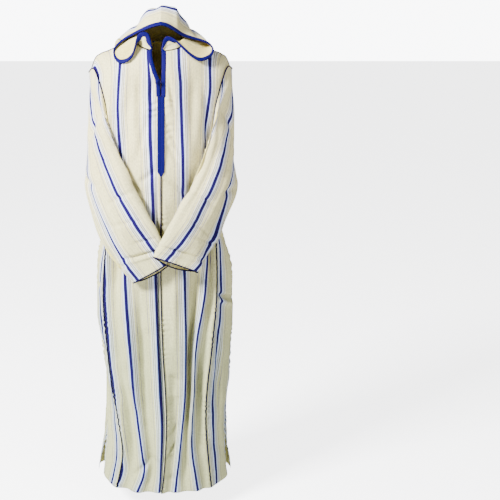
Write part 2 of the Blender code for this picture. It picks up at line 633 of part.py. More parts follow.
def push_off_body(points, gap):
    """The points, moved out along their section where they would lie in the body."""
    level = np.maximum(-points[..., 2], 0.0)
    x, y = points[..., 0], points[..., 1]
    width = np.where(x < 0, half_width(level, RIGHT), half_width(level, LEFT)) + gap
    depth = np.where(y < 0, smooth(BODY_SECTIONS[:, 0], BODY_SECTIONS[:, 3], level),
                     smooth(BODY_SECTIONS[:, 0], BODY_SECTIONS[:, 4], level)) + gap
    size = ((np.abs(x) / width) ** SQUARENESS + (np.abs(y) / depth) ** SQUARENESS) ** (1 / SQUARENESS)
    grow = np.maximum(1 / np.maximum(size, 0.2), 1)
    moved = points.copy()
    moved[..., 0] *= grow
    moved[..., 1] *= grow
    return moved


def sleeve_grid(rows, side):
    """A sleeve's grid of rings, from the armhole to the cuff, as a flattened tube round its two edges."""
    turn = np.arange(SLEEVE_AROUND) * 2 * math.pi / SLEEVE_AROUND
    inner, outer, bulge = rows[:, :3], rows[:, 3:6], rows[:, 6]
    middle = (inner + outer) / 2
    path = unit(np.gradient(middle, axis=0))
    chord = inner - outer
    stand = unit(np.cross(chord, path)) * side
    power = 2 / SLEEVE_SQUARENESS
    cosine = np.sign(np.cos(turn)) * np.abs(np.cos(turn)) ** power
    sine = np.sign(np.sin(turn)) * np.abs(np.sin(turn)) ** power
    depth = np.where(sine > 0, sine, sine * SLEEVE_BACK)
    rings = (middle[:, None] + chord[:, None] / 2 * cosine[None, :, None]
             + stand[:, None] * bulge[:, None, None] * depth[None, :, None])
    lip = (np.clip(-sine, 0, 1) ** 3)[:, None] * path[-1] * CUFF_LIP
    rings[-1] += lip
    first, out = armhole_ring(side, turn)
    spread = first - first.mean(axis=0)
    spread = unit(spread - out * (spread * out).sum(-1, keepdims=True))
    lift = SLEEVE_LIFT + SLEEVE_TIP_LIFT * np.clip(np.sin(turn), 0, 1) ** 2
    first = first + spread * SLEEVE_LAP + out * lift[:, None]
    at = np.linspace(0, 1, SLEEVE_ALONG)
    grid = smooth(SLEEVE_KNOTS, np.concatenate([first[None], rings]), at)
    pushed = push_off_body(grid, SLEEVE_CLEAR + CLOTH)
    share = ease(at, 0.0, SLEEVE_EASE)[:, None, None]
    grid = grid + (pushed - grid) * share
    normals = grid_normals(grid, wraps=True)
    centre = grid.mean(axis=1, keepdims=True)
    normals *= np.sign((normals * (grid - centre)).sum(-1, keepdims=True).mean(axis=1, keepdims=True))
    return grid, normals


# ---------------------------------------------------------------- hood
def neck_seam(angle, side):
    """The neck seam at an angle from the nape, just clear of the body's neckline."""
    x = NECK_HALF * np.abs(np.sin(angle))
    front = angle > math.pi / 2
    level = neck_level(x, np.where(front, NECK_FRONT_DROP, NECK_BACK_DROP))
    turned = angle_of(x, level, side)
    fore = body_point(turned, level, side)
    aft = body_point(turned, level, side, back=True)
    return np.where(front[:, None], fore, aft) + np.array((0, 0, NECK_CLEAR))


def hood_half(edge, inner, side):
    """One side's control rows from throat to brow: the edge, three places behind it, the neck seam."""
    lengths = np.concatenate([[0], np.cumsum(np.linalg.norm(np.diff(edge, axis=0), axis=1))])
    front = smooth(lengths / lengths[-1], edge, HOOD_SHARES)
    after = smooth(inner[:, 0], inner[:, 1:], HOOD_SHARES)
    seam = neck_seam(np.radians(after[:, 9]), side)
    return np.concatenate([front[:, None], after[:, :9].reshape(-1, 3, 3), seam[:, None]], axis=1)


def hood_sections(places):
    """The hood's sections at the given shares of the way from its front edge to the neck seam."""
    right = hood_half(HOOD_EDGE_RIGHT, HOOD_INNER_RIGHT, RIGHT)
    left = hood_half(HOOD_EDGE_LEFT, HOOD_INNER_LEFT, LEFT)
    sections = np.swapaxes(np.concatenate([right, left[-2::-1]]), 0, 1)
    return np.swapaxes(smooth(HOOD_KNOTS, sections, places), 0, 1)


def level_at(points):
    """The level of the body's form at each point's height."""
    rise = shoulder_height(points[..., 0])
    level = np.maximum(rise - points[..., 2], 0)
    for _ in range(20):
        level = np.maximum(rise * (1 - ease(level, 0.0, SHOULDER_FADE)) - points[..., 2], 0)
    return level


def lift_off_body(points, gap):
    """The points, moved up or out, whichever is nearer, where they would lie in the shoulders."""
    x, y, z = points[..., 0], points[..., 1], points[..., 2]
    level = level_at(points)
    side_width = np.where(x < 0, half_width(level, RIGHT), half_width(level, LEFT))
    flat = np.clip(1 - np.clip(np.abs(x) / side_width, 0, 1) ** SQUARENESS, 0, 1) ** (1 / SQUARENESS)
    column = np.where(y < 0, 3, 4)
    front = smooth(BODY_SECTIONS[:, 0], BODY_SECTIONS[:, 3], level)
    rear = smooth(BODY_SECTIONS[:, 0], BODY_SECTIONS[:, 4], level)
    reach = np.where(column == 3, front, rear) * flat
    rolled = np.clip(level / SHOULDER_ROUND, 0, 1)
    out_needed = reach * np.sqrt(1 - (1 - rolled) ** 2) + gap - np.abs(y)
    share = np.clip((np.abs(y) - gap) / np.maximum(reach, 1e-6), 0, 1)
    crest = SHOULDER_ROUND * (1 - np.sqrt(1 - share**2))
    surface = shoulder_height(x) * (1 - ease(crest, 0.0, SHOULDER_FADE)) - crest
    up_needed = surface + gap - z
    inside = (out_needed > 0) & (up_needed > 0)
    moved = points.copy()
    raise_it = inside & (up_needed <= out_needed)
    push_it = inside & ~raise_it
    moved[..., 2] += np.where(raise_it, up_needed, 0)
    moved[..., 1] += np.where(push_it, out_needed * np.where(y < 0, -1, 1), 0)
    return moved


def hood_grid():
    """The hood's grid from its front edge to the neck seam, with normals on its outer side. The
    second column is where the edge's braid ends."""
    steps = np.linspace(0, 1, HOOD_STEPS)
    fine = hood_sections(steps)
    grid = np.zeros((len(fine), len(HOOD_PLACES) + 1, 3))
    for r, section in enumerate(fine):
        run = np.concatenate([[0], np.linalg.norm(np.diff(section, axis=0), axis=1).cumsum()])
        reach = np.interp(min(BRAID_WIDTH, run[-1] / 2), run, steps)
        places = np.concatenate([[0], reach + (1 - reach) * HOOD_PLACES])
        grid[r] = np.stack([np.interp(places, steps, section[:, k]) for k in range(3)], axis=1)
    grid[:, :-1] = lift_off_body(grid[:, :-1], HOOD_CLEAR)
    normals = grid_normals(grid)
    if normals[len(fine) // 2, 2, 2] < 0:
        normals = -normals
    return grid, normals


# ---------------------------------------------------------------- materials
def cloth_material(name, colour, roughness):
    """A plain material of this colour and roughness."""
    material = bpy.data.materials.new(name)
    material.use_nodes = True
    shader = material.node_tree.nodes["Principled BSDF"]
    shader.inputs["Base Color"].default_value = (*colour, 1)
    shader.inputs["Roughness"].default_value = roughness
    return material


# ---------------------------------------------------------------- trims
def on_grid(grid, rows, columns):
    """Points on a grid's own faces at fractional rows and columns."""
    rows, columns = np.asarray(rows, float), np.asarray(columns, float)
    r = np.clip(rows.astype(int), 0, grid.shape[0] - 2)
    c = np.clip(columns.astype(int), 0, grid.shape[1] - 2)
    u, v = (rows - r)[..., None], (columns - c)[..., None]
    low = grid[r, c] * (1 - v) + grid[r, c + 1] * v
    high = grid[r + 1, c] * (1 - v) + grid[r + 1, c + 1] * v
    return low * (1 - u) + high * u


def columns_at(grid, rows, distances):
    """Fractional columns at these distances from the grid's first column, for each row."""
    every = np.arange(grid.shape[1])
    points = on_grid(grid, rows[:, None] * np.ones(len(every)), every[None] * np.ones((len(rows), 1)))
    runs = np.linalg.norm(np.diff(points, axis=1), axis=2).cumsum(axis=1)
    return np.array([np.interp(distances, np.concatenate([[0], run]), every) for run in runs])


def row_of(levels, level, column=0):
    """The fractional row at which a column of the grid passes a level."""
    return float(np.interp(-level, -levels[:, column], np.arange(len(levels))))


def rows_between(start, end):
    """The fractional start and end rows with every whole row between them."""
    whole = np.arange(math.floor(start) + 1, math.ceil(end))
    return np.concatenate([[start], whole, [end]])


def binding(name, faces, normals, material, lip=0.0):
    """A braid folded over an edge, with a further clearance `lip` off the edge itself. The grid's
    first column is the edge, and its last is where the braid ends, on both faces of the cloth."""
    off_edge = unit(faces[:, 0] - faces[:, 1])
    around = np.concatenate([off_edge[:1], off_edge, off_edge[-1:]])
    off_edge = unit(around[:-2] + around[1:-1] + around[2:])
    near, far = BRAID_GAP, BRAID_GAP + BRAID_THICK
    layers = []
    for reach in (near, far):
        outer = faces + normals * reach
        inner = faces - normals * (CLOTH + reach)
        inner[:, -1] += (inner[:, 0] - inner[:, -1]) * INNER_SHORT - normals[:, -1] * INNER_LIFT
        outer_lip = outer[:, :1] + off_edge[:, None] * (reach + lip)
        inner_lip = inner[:, :1] + off_edge[:, None] * (reach + lip)
        layers.append(np.concatenate([outer[:, ::-1], outer_lip, inner_lip, inner], axis=1))
    rows, columns = layers[0].shape[:2]
    vertices = np.concatenate([layers[1].reshape(-1, 3), layers[0].reshape(-1, 3)])
    return add_object(name, vertices, wall_faces(rows, columns, turned=faces.shape[1] - 1), material)


def seam_path(grid, normals, column, start, end, lift):
    """The path of a piping along a grid's column, lifted off the cloth."""
    rows = rows_between(start, end)
    at = np.full(len(rows), float(column))
    return on_grid(grid, rows, at) + unit(on_grid(normals, rows, at)) * lift


def make_body(robe):
    """The panels and gores. The front panels' grids are given back for the trims."""
    fronts = {}
    for side, threads, word in ((RIGHT, RIGHT_THREADS, "right"), (LEFT, LEFT_THREADS, "left")):
        grid, normals, levels = front_grid(threads, side)
        fronts[word] = (grid, normals, levels)
        wall(f"front_{word}", inset(grid), normals, robe)
        for back, place in ((False, "front"), (True, "back")):
            gore, gore_normals = gore_grid(threads, side, back)
            wall(f"gore_{place}_{word}", inset(gore), gore_normals, robe)
    grid, normals = back_grid()
    wall("back", inset(grid), normals, robe)
    return fronts


def make_sleeves(robe, navy):
    """The sleeves, each with a piping round its cuff."""
    for side, rows, word in ((RIGHT, RIGHT_SLEEVE, "right"), (LEFT, LEFT_SLEEVE, "left")):
        grid, normals = sleeve_grid(rows, side)
        wall(f"sleeve_{word}", grid, normals, robe, wraps=True)
        beyond = unit((grid[-1] - grid[-2]).mean(axis=0)) * (PIPING_RADIUS + CUFF_GAP)
        inward = unit(grid[-1].mean(axis=0) - grid[-1]) * CLOTH / 2
        tube(f"piping_cuff_{word}", grid[-1] + inward + beyond, PIPING_RADIUS, navy, closed=True)


def make_hood(robe, blue):
    """The hood and the braid folded over its front edge."""
    grid, normals = hood_grid()
    wall("hood", grid, normals, robe)
    binding("braid_hood", grid[:, :2], normals[:, :2], blue, lip=BRAID_LIP)


def make_opening(fronts, blue):
    """The braids of the neck slit and the closed placket below it, which runs to a point."""
    for word, (grid, normals, levels) in fronts.items():
        rows = rows_between(row_of(levels, BRAID_LEVEL), len(grid) - 1 - NECK_END)
        columns = columns_at(grid, rows, BRAID_WIDTH * np.array((0, 0.5, 1)))
        rows = rows[:, None] * np.ones(3)
        out = unit(on_grid(normals, rows, columns))
        binding(f"braid_slit_{word}", on_grid(grid, rows, columns), out, blue)
    grid, normals, levels = fronts["left"]
    end = row_of(levels, BRAID_LEVEL + 2 * PLACKET_CLEAR)
    rows = rows_between(row_of(levels, PLACKET_LEVEL), end)
    rows = np.concatenate([[row_of(levels, PLACKET_TIP)], rows])
    half = np.full(len(rows), PLACKET_HALF)
    half[0] = PLACKET_HALF * TIP_SHARE
    centre = on_grid(grid, rows, np.zeros(len(rows)))
    outward = unit(on_grid(normals, rows, np.zeros(len(rows))))
    share = np.linspace(-1, 1, 5)
    level = -np.interp(rows, np.arange(len(levels)), -levels[:, 0])
    places = centre[:, None] + share[None, :, None] * half[:, None, None] * np.array((1, 0, 0))
    fall = body_point(angle_of(PLACKET_HALF, level, LEFT), level, LEFT)[:, 1] - centre[:, 1]
    places[..., 1] += fall[:, None] * share[None] ** 2
    wall("braid_placket", places, np.repeat(outward[:, None], len(share), axis=1), blue,
         thick=BRAID_THICK, lift=SEAM_GAP + PLACKET_CLEAR + BRAID_THICK)


def make_button(fronts, blue):
    """The knot button on the slit's right edge and the loop round it."""
    grid, normals, levels = fronts["right"]
    row = row_of(levels, BUTTON_LEVEL)
    out = unit(on_grid(normals, row, BUTTON_PLACE))
    middle = on_grid(grid, row, BUTTON_PLACE) + out * (2 * BRAID_GAP + BRAID_THICK + BUTTON_RADIUS)
    ball("button_knot", middle, BUTTON_RADIUS, blue)
    turn = np.linspace(0, 2 * math.pi, 12, endpoint=False)
    shape = np.stack([LOOP_STRETCH * np.cos(turn) + LOOP_SHIFT, 0 * turn, np.sin(turn)], axis=1)
    tube("button_loop", middle + (BUTTON_RADIUS + LOOP_CLEAR) * shape, LOOP_RADIUS, blue, closed=True)


def ball(name, middle, radius, material):
    """A small ball."""
    edit = bmesh.new()
    bmesh.ops.create_uvsphere(edit, u_segments=8, v_segments=6, radius=radius)
    vertices = [np.array(v.co) + middle for v in edit.verts]
    faces = [tuple(v.index for v in face.verts) for face in edit.faces]
    edit.free()
    return add_object(name, vertices, faces, material)


def make_pipings(fronts, navy):
    """The dark pipings of the centre front, the side-front seams and the shoulders."""
    lift = PIPING_RADIUS + SEAM_GAP + PIPING_CLEAR
    grid, normals, levels = fronts["left"]
    path = seam_path(grid, normals, 0, SEAM_END, row_of(levels, PLACKET_TIP + SHOULDER_END), lift)
    tube("piping_centre_front", path, PIPING_RADIUS, navy)
    for side, word in ((RIGHT, "right"), (LEFT, "left")):
        grid, normals, levels = fronts[word]
        last = grid.shape[1] - 1
        path = seam_path(grid, normals, last, SEAM_END, LOWER_ROWS - UNDERARM_ROWS, lift)
        tube(f"piping_side_front_{word}", path, PIPING_RADIUS, navy)
        tip = grid[-1] + unit(normals[-1]) * lift
        top = tip[np.abs(grid[-1, :, 0]) > NECK_HALF + SHOULDER_END]
        tube(f"piping_shoulder_{word}", top[:-1], PIPING_RADIUS, navy)


# ---------------------------------------------------------------- build
def main():
    for old in list(bpy.data.objects):
        bpy.data.objects.remove(old)
    robe = cloth_material("striped_cloth", (0.80, 0.77, 0.64), 0.72)
    blue = cloth_material("blue_braid", (0.02, 0.04, 0.42), 0.55)
    navy = cloth_material("navy_piping", (0.01, 0.01, 0.05), 0.60)
    fronts = make_body(robe)
    make_sleeves(robe, navy)
    make_hood(robe, blue)
    make_opening(fronts, blue)
    make_button(fronts, blue)
    make_pipings(fronts, navy)


main()
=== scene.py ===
"""A hooded djellaba robe in fine striped crepe, worn to shape and open at neck, cuffs and hem.

Metres, +Z up. The front faces -Y, the wearer's left is +X, and a level is a distance down from the
shoulder line. Every piece of cloth is a thin shell on the form of its solid, with its creases laid
in one by one. Its map named "cloth" holds the place on the flat cloth in metres: across the threads
from a blue stripe, and along them.
"""
import math

import bmesh
import bpy
import numpy as np
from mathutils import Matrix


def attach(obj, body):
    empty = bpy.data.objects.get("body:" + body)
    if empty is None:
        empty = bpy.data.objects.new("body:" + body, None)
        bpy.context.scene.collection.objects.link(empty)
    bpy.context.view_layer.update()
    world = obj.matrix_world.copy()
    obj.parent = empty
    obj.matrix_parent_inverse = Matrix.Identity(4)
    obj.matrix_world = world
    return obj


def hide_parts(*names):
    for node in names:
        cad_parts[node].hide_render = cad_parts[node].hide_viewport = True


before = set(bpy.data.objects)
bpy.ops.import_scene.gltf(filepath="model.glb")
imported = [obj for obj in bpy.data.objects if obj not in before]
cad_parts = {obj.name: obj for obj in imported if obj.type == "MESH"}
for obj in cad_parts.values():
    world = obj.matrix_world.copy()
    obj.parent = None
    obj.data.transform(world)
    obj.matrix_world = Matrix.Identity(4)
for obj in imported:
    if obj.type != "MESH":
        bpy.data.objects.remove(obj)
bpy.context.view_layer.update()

# ---------------------------------------------------------------- sizes of the form
HEM_LEVEL = 1.45          # shoulder line to hem
UNDERARM_LEVEL = 0.32     # shoulder tip to the bottom of the armhole
CLOTH = 0.0016            # thickness of the robe cloth
SHOULDER_ROUND = 0.12     # radius over which front and back roll into the shoulder seam
SQUARENESS = 2.3          # exponent of the body's section: 2 is an ellipse
ARMHOLE_SWEEP = math.radians(33)   # how far the armhole reaches to the front and the back
NECK_HALF = 0.078         # half the width of the neck opening
NECK_FRONT_DROP = 0.045   # the neckline's drop at the throat
NECK_BACK_DROP = 0.020    # the neckline's drop at the nape
BRAID_LEVEL = 0.160       # where the slit's two braids end and the closed placket starts
PLACKET_LEVEL = 0.355     # where the closed braid starts to narrow to its point
PLACKET_TIP = 0.370
BUTTON_LEVEL = 0.124      # the knot button on the slit's edge
CORD_SIDES = 8            # faces round a cord or piping
CORD_LAY, LOOP_LAY = 0.0032, 0.0018    # a half turn of the two strands
KNOT_RADIUS = 0.0056      # the knot without its rounds of cord
SIDE_SLIT_LEVEL = 1.26    # top of the walking slit in each side seam
BRAID_WIDTH = 0.012
BRAID_THICK = 0.0015
BRAID_TUCK = 0.85         # the braid behind the edge is this much narrower than before it
RIB_PITCH, RIB_SLANT = 0.0024, 0.9
BRAID_GAP = 0.0007        # between a folded braid and the edge it covers
PLACKET_HALF = 0.0115
PIPING_RADIUS = 0.0021
STEP = 0.004              # a short step on the form, for measuring which way it faces
NECK_CLEAR = 0.0038       # the hood's seam above the neckline
LOOP_RADIUS = 0.00084     # the button loop's cord
CUFF_LIP = 0.011          # the cuff's back layer hangs this much lower than its front
RIGHT, LEFT = -1, 1
# Body sections. Columns: level, half width on the wearer's right and left, depth in front and behind.
BODY_SECTIONS = np.array([
    # level   right   left   front   back
    (0.00, 0.222, 0.219, 0.125, 0.112),
    (0.10, 0.212, 0.209, 0.128, 0.118),
    (0.20, 0.194, 0.193, 0.129, 0.120),
    (0.32, 0.178, 0.178, 0.125, 0.118),
    (0.42, 0.172, 0.174, 0.120, 0.116),
    (0.55, 0.190, 0.200, 0.118, 0.118),
    (0.67, 0.212, 0.232, 0.121, 0.123),
    (0.81, 0.215, 0.240, 0.126, 0.128),
    (0.95, 0.201, 0.240, 0.129, 0.130),
    (1.06, 0.189, 0.236, 0.131, 0.131),
    (1.17, 0.183, 0.229, 0.133, 0.132),
    (1.33, 0.194, 0.227, 0.141, 0.137),
    (1.45, 0.204, 0.232, 0.150, 0.145),
])
# Height of the shoulder seam above the origin, from the neck out to the shoulder tip.
SHOULDER_LINE = np.array([
    # out     height
    (0.000, 0.060),
    (0.078, 0.050),
    (0.110, 0.038),
    (0.167, 0.012),
    (0.190, 0.003),
    (0.208, -0.014),
    (0.216, -0.036),
    (0.222, -0.056),
])
SHOULDER_FADE = 0.42      # level at which the shoulder's slope has gone from the sections
# Lengthwise threads of each front panel: where they run across the body at each level. The first
# row of each table is the thread's place on the flat cloth, from the centre edge.
LEFT_THREADS = {
    "cloth": (0.000, 0.067, 0.167, 0.240),
    "rows": np.array([
        # level  centre  stripe  stripe  side seam
        (0.00, 0.0040, 0.053, 0.148, 0.200),
        (0.07, 0.0035, 0.055, 0.150, 0.190),
        (0.13, 0.0030, 0.058, 0.150, 0.178),
        (0.160, 0.0026, 0.059, 0.148, 0.174),
        (0.175, 0.0000, 0.060, 0.147, 0.172),
        (0.24, 0.0000, 0.063, 0.143, 0.167),
        (0.32, 0.0000, 0.067, 0.141, 0.164),
        (0.45, 0.0000, 0.071, 0.140, 0.160),
        (0.60, 0.0000, 0.074, 0.150, 0.178),
        (0.76, 0.0000, 0.080, 0.141, 0.182),
        (0.95, 0.0060, 0.084, 0.113, 0.168),
        (1.10, 0.0150, 0.082, 0.109, 0.153),
        (1.20, 0.0180, 0.075, 0.103, 0.151),
        (1.32, 0.0140, 0.063, 0.105, 0.160),
        (1.38, 0.0100, 0.056, 0.114, 0.166),
        (1.45, 0.0020, 0.048, 0.126, 0.174),
    ]),
}
RIGHT_THREADS = {
    "cloth": (0.000, 0.033, 0.133, 0.240),
    "rows": np.array([
        # level  centre  stripe  stripe  side seam
        (0.00, 0.0300, 0.040, 0.120, 0.200),
        (0.07, 0.0160, 0.036, 0.124, 0.190),
        (0.13, 0.0040, 0.034, 0.130, 0.178),
        (0.160, 0.0026, 0.034, 0.132, 0.174),
        (0.175, 0.0000, 0.033, 0.133, 0.172),
        (0.24, 0.0000, 0.033, 0.132, 0.167),
        (0.32, 0.0000, 0.029, 0.126, 0.164),
        (0.45, 0.0000, 0.024, 0.120, 0.160),
        (0.60, 0.0000, 0.019, 0.116, 0.178),
        (0.76, 0.0000, 0.013, 0.112, 0.190),
        (0.95, -0.0060, 0.006, 0.099, 0.180),
        (1.10, -0.0150, -0.001, 0.090, 0.164),
        (1.20, -0.0180, -0.006, 0.079, 0.145),
        (1.32, -0.0140, -0.003, 0.062, 0.130),
        (1.38, -0.0100, 0.000, 0.057, 0.138),
        (1.45, -0.0020, 0.004, 0.080, 0.153),
    ]),
}
FOLD_SHARE = 0.45         # depth of a fold as a share of the spare cloth's half length
FOLD_LIMIT = 0.036
FOLD_START, FOLD_FULL = 0.22, 0.62   # levels between which the folds open
STRIPE_SHARE = 0.80       # the outer stripe keeps within this share of the way to the armhole
# Soft folds of the back, as a share of the back's width from the wearer's right to left.
BACK_FOLDS = np.array([
    # place  width  depth  start level
    (0.17, 0.11, 0.016, 0.55),
    (0.36, 0.09, 0.013, 0.30),
    (0.55, 0.12, 0.018, 0.45),
    (0.73, 0.08, 0.012, 0.70),
    (0.88, 0.09, 0.015, 0.50),
])
BACK_FOLD_OPENING = 0.5   # a back fold opens over this height
GORE_FLARE = np.array([
    # level  front gore  back gore, moved out at its middle
    (0.32, 0.000, 0.000),
    (0.90, 0.000, 0.002),
    (1.15, -0.004, 0.008),
    (1.30, -0.008, 0.016),
    (1.45, -0.006, 0.014),
])
BACK_SWING = (0.020, 0.0225)     # how far the back gore's free corner swings out and back at the hem
FRONT_SWING = (0.0005, -0.0045)  # and the front gore's
# Sleeve sections: the tube's two folded edges, and how far its outer face stands off the line between.
LEFT_SLEEVE = np.array([
    # inner edge x, y, z      outer edge x, y, z       bulge
    (0.128, -0.115, -0.315, 0.207, 0.072, -0.345, 0.062),
    (0.099, -0.132, -0.385, 0.236, 0.036, -0.420, 0.055),
    (0.055, -0.156, -0.457, 0.192, -0.068, -0.545, 0.041),
    (0.014, -0.172, -0.538, 0.150, -0.122, -0.612, 0.029),
    (-0.022, -0.180, -0.610, 0.113, -0.162, -0.662, 0.021),
])
RIGHT_SLEEVE = np.array([
    # inner edge x, y, z      outer edge x, y, z       bulge
    (-0.124, -0.115, -0.315, -0.212, 0.074, -0.345, 0.062),
    (-0.092, -0.130, -0.385, -0.240, 0.040, -0.420, 0.056),
    (-0.036, -0.144, -0.487, -0.198, -0.064, -0.570, 0.039),
    (0.002, -0.147, -0.560, -0.138, -0.110, -0.650, 0.026),
    (0.038, -0.146, -0.631, -0.089, -0.136, -0.706, 0.017),
])
SLEEVE_KNOTS = (0.0, 0.36, 0.50, 0.68, 0.84, 1.0)   # share of the way to the cuff: armhole, then rows
SLEEVE_EASE = 0.10        # share of the sleeve over which it leaves the armhole edge
SLEEVE_SQUARENESS = 2.2
SLEEVE_CLEAR = 0.0125     # between the sleeve and the body under it
SLEEVE_BACK = 0.4         # how full the sleeve's back face is beside its outer face
SLEEVE_LAP = 0.004        # the sleeve's seam laps the armhole edge by this much
SLEEVE_LIFT = 0.003       # and stands this far off it
SLEEVE_TIP_LIFT = 0.002   # and this much further over the shoulder's bend
# The hood's front edge, from the throat round the drooping side to the brow, on each side.
HOOD_EDGE_LEFT = np.array([
    # x      y       z
    (0.004, -0.1010, 0.024),
    (0.008, -0.0980, 0.042),
    (0.017, -0.0930, 0.054),
    (0.033, -0.0920, 0.051),
    (0.047, -0.0950, 0.040),
    (0.069, -0.0990, 0.018),
    (0.094, -0.1010, -0.003),
    (0.118, -0.1000, -0.014),
    (0.141, -0.0900, -0.009),
    (0.157, -0.0740, 0.004),
    (0.161, -0.0640, 0.019),
    (0.150, -0.0610, 0.034),
    (0.130, -0.0620, 0.043),
    (0.101, -0.0690, 0.050),
    (0.069, -0.0800, 0.059),
    (0.036, -0.0950, 0.078),
    (0.014, -0.1020, 0.089),
    (0.000, -0.1040, 0.092),
])
HOOD_EDGE_RIGHT = np.array([
    (-0.029, -0.1000, 0.026),
    (-0.034, -0.0950, 0.046),
    (-0.040, -0.0900, 0.063),
    (-0.052, -0.0890, 0.068),
    (-0.066, -0.0900, 0.062),
    (-0.073, -0.0940, 0.048),
    (-0.079, -0.1000, 0.022),
    (-0.087, -0.1040, -0.002),
    (-0.104, -0.1030, -0.017),
    (-0.127, -0.0980, -0.020),
    (-0.144, -0.0830, 0.000),
    (-0.142, -0.0690, 0.022),
    (-0.128, -0.0660, 0.037),
    (-0.108, -0.0690, 0.051),
    (-0.082, -0.0780, 0.064),
    (-0.057, -0.0880, 0.075),
    (-0.020, -0.1010, 0.088),
    (0.000, -0.1040, 0.092),
])
# What follows the edge round the hood, by share of the way from throat to brow: three places on
# the way back (over the ridge, down the back, at the lowest fold) and the neck seam's angle.
HOOD_INNER_LEFT = np.array([
    # share  ridge x, y, z          back x, y, z            lowest x, y, z         seam angle from nape
    (0.000, 0.0042, -0.1005, 0.0215, 0.0044, -0.0998, 0.0195, 0.0046, -0.0990, 0.0178, 177),
    (0.083, 0.0215, -0.0935, 0.042, 0.0220, -0.0930, 0.034, 0.0225, -0.0925, 0.027, 163),
    (0.122, 0.0320, -0.0910, 0.043, 0.0340, -0.0900, 0.037, 0.0350, -0.0895, 0.031, 153),
    (0.240, 0.0620, -0.0860, 0.042, 0.0600, -0.0800, 0.044, 0.0585, -0.0770, 0.041, 132),
    (0.319, 0.0840, -0.0740, 0.040, 0.0740, -0.0600, 0.052, 0.0710, -0.0540, 0.052, 116),
    (0.400, 0.1100, -0.0520, 0.040, 0.0920, -0.0220, 0.054, 0.0820, -0.0140, 0.055, 98),
    (0.506, 0.1320, -0.0140, 0.046, 0.1040, 0.0140, 0.052, 0.0870, 0.0260, 0.051, 78),
    (0.595, 0.1320, 0.0080, 0.056, 0.1000, 0.0400, 0.051, 0.0820, 0.0560, 0.042, 62),
    (0.670, 0.1120, 0.0140, 0.070, 0.0880, 0.0560, 0.052, 0.0700, 0.0840, 0.028, 50),
    (0.800, 0.0700, -0.0020, 0.108, 0.0660, 0.0620, 0.070, 0.0480, 0.1160, -0.012, 34),
    (0.900, 0.0400, -0.0220, 0.140, 0.0380, 0.0640, 0.092, 0.0260, 0.1340, -0.056, 17),
    (1.000, 0.0000, -0.0300, 0.152, 0.0000, 0.0660, 0.102, 0.0000, 0.1440, -0.085, 0),
])
HOOD_INNER_RIGHT = np.array([
    # share  ridge x, y, z           back x, y, z             lowest x, y, z          seam angle from nape
    (0.000, -0.0287, -0.0995, 0.0235, -0.0285, -0.0990, 0.0215, -0.0283, -0.0988, 0.0195, 159),
    (0.060, -0.0460, -0.0930, 0.043, -0.0430, -0.0930, 0.033, -0.0410, -0.0920, 0.027, 151),
    (0.134, -0.0525, -0.0910, 0.052, -0.0515, -0.0900, 0.042, -0.0500, -0.0890, 0.034, 141),
    (0.176, -0.0575, -0.0900, 0.049, -0.0560, -0.0870, 0.042, -0.0555, -0.0850, 0.037, 135),
    (0.215, -0.0640, -0.0890, 0.045, -0.0610, -0.0840, 0.043, -0.0600, -0.0800, 0.040, 130),
    (0.283, -0.0720, -0.0820, 0.048, -0.0680, -0.0720, 0.052, -0.0680, -0.0660, 0.049, 120),
    (0.345, -0.0880, -0.0800, 0.036, -0.0820, -0.0560, 0.054, -0.0770, -0.0460, 0.054, 110),
    (0.460, -0.1160, -0.0620, 0.030, -0.1000, -0.0140, 0.054, -0.0870, -0.0040, 0.055, 90),
    (0.530, -0.1340, -0.0300, 0.040, -0.1040, 0.0100, 0.054, -0.0880, 0.0200, 0.053, 78),
    (0.590, -0.1340, 0.0060, 0.050, -0.1020, 0.0380, 0.052, -0.0840, 0.0500, 0.045, 66),
    (0.670, -0.1120, 0.0140, 0.070, -0.0880, 0.0560, 0.052, -0.0700, 0.0840, 0.028, 50),
    (0.800, -0.0700, -0.0020, 0.108, -0.0660, 0.0620, 0.070, -0.0480, 0.1160, -0.012, 34),
    (0.900, -0.0400, -0.0220, 0.140, -0.0380, 0.0640, 0.092, -0.0260, 0.1340, -0.056, 17),
    (1.000, 0.0000, -0.0300, 0.152, 0.0000, 0.0660, 0.102, 0.0000, 0.1440, -0.085, 0),
])
HOOD_KNOTS = (0.0, 0.28, 0.55, 0.80, 1.0)
HOOD_CLEAR = 0.0060       # between the hood and the shoulders it hangs over


# ---------------------------------------------------------------- the form
def smooth(knots, values, at):
    """Values at each place in `at`, on a smooth curve through the knots, with no overshoot at the ends."""
    knots = np.asarray(knots, float)
    values = np.asarray(values, float)
    at = np.clip(np.asarray(at, float), knots[0], knots[-1])
    slopes = np.gradient(values, knots, axis=0)
    i = np.clip(np.searchsorted(knots, at, side="right") - 1, 0, len(knots) - 2)
    span = knots[i + 1] - knots[i]
    t = (at - knots[i]) / span
    shape = t.shape + (1,) * (values.ndim - 1)
    t, span = t.reshape(shape), span.reshape(shape)
    return (
        (2 * t**3 - 3 * t**2 + 1) * values[i]
        + (t**3 - 2 * t**2 + t) * span * slopes[i]
        + (3 * t**2 - 2 * t**3) * values[i + 1]
        + (t**3 - t**2) * span * slopes[i + 1]
    )


def ease(x, low, high):
    """0 below low, 1 above high, and a smooth step between."""
    t = np.clip((x - low) / (high - low), 0, 1)
    return t * t * (3 - 2 * t)


def unit(vectors):
    """The vectors at length one."""
    return vectors / np.maximum(np.linalg.norm(vectors, axis=-1, keepdims=True), 1e-12)


def run_along(path):
    """The length of a path from its start to each of its points."""
    return np.concatenate([[0], np.linalg.norm(np.diff(path, axis=0), axis=1).cumsum()])


def between(grid, rows):
    """The rows of a grid at these places, which may lie between two of them."""
    low = np.clip(rows.astype(int), 0, len(grid) - 2)
    part = (rows - low)[:, None, None]
    return grid[low] * (1 - part) + grid[low + 1] * part


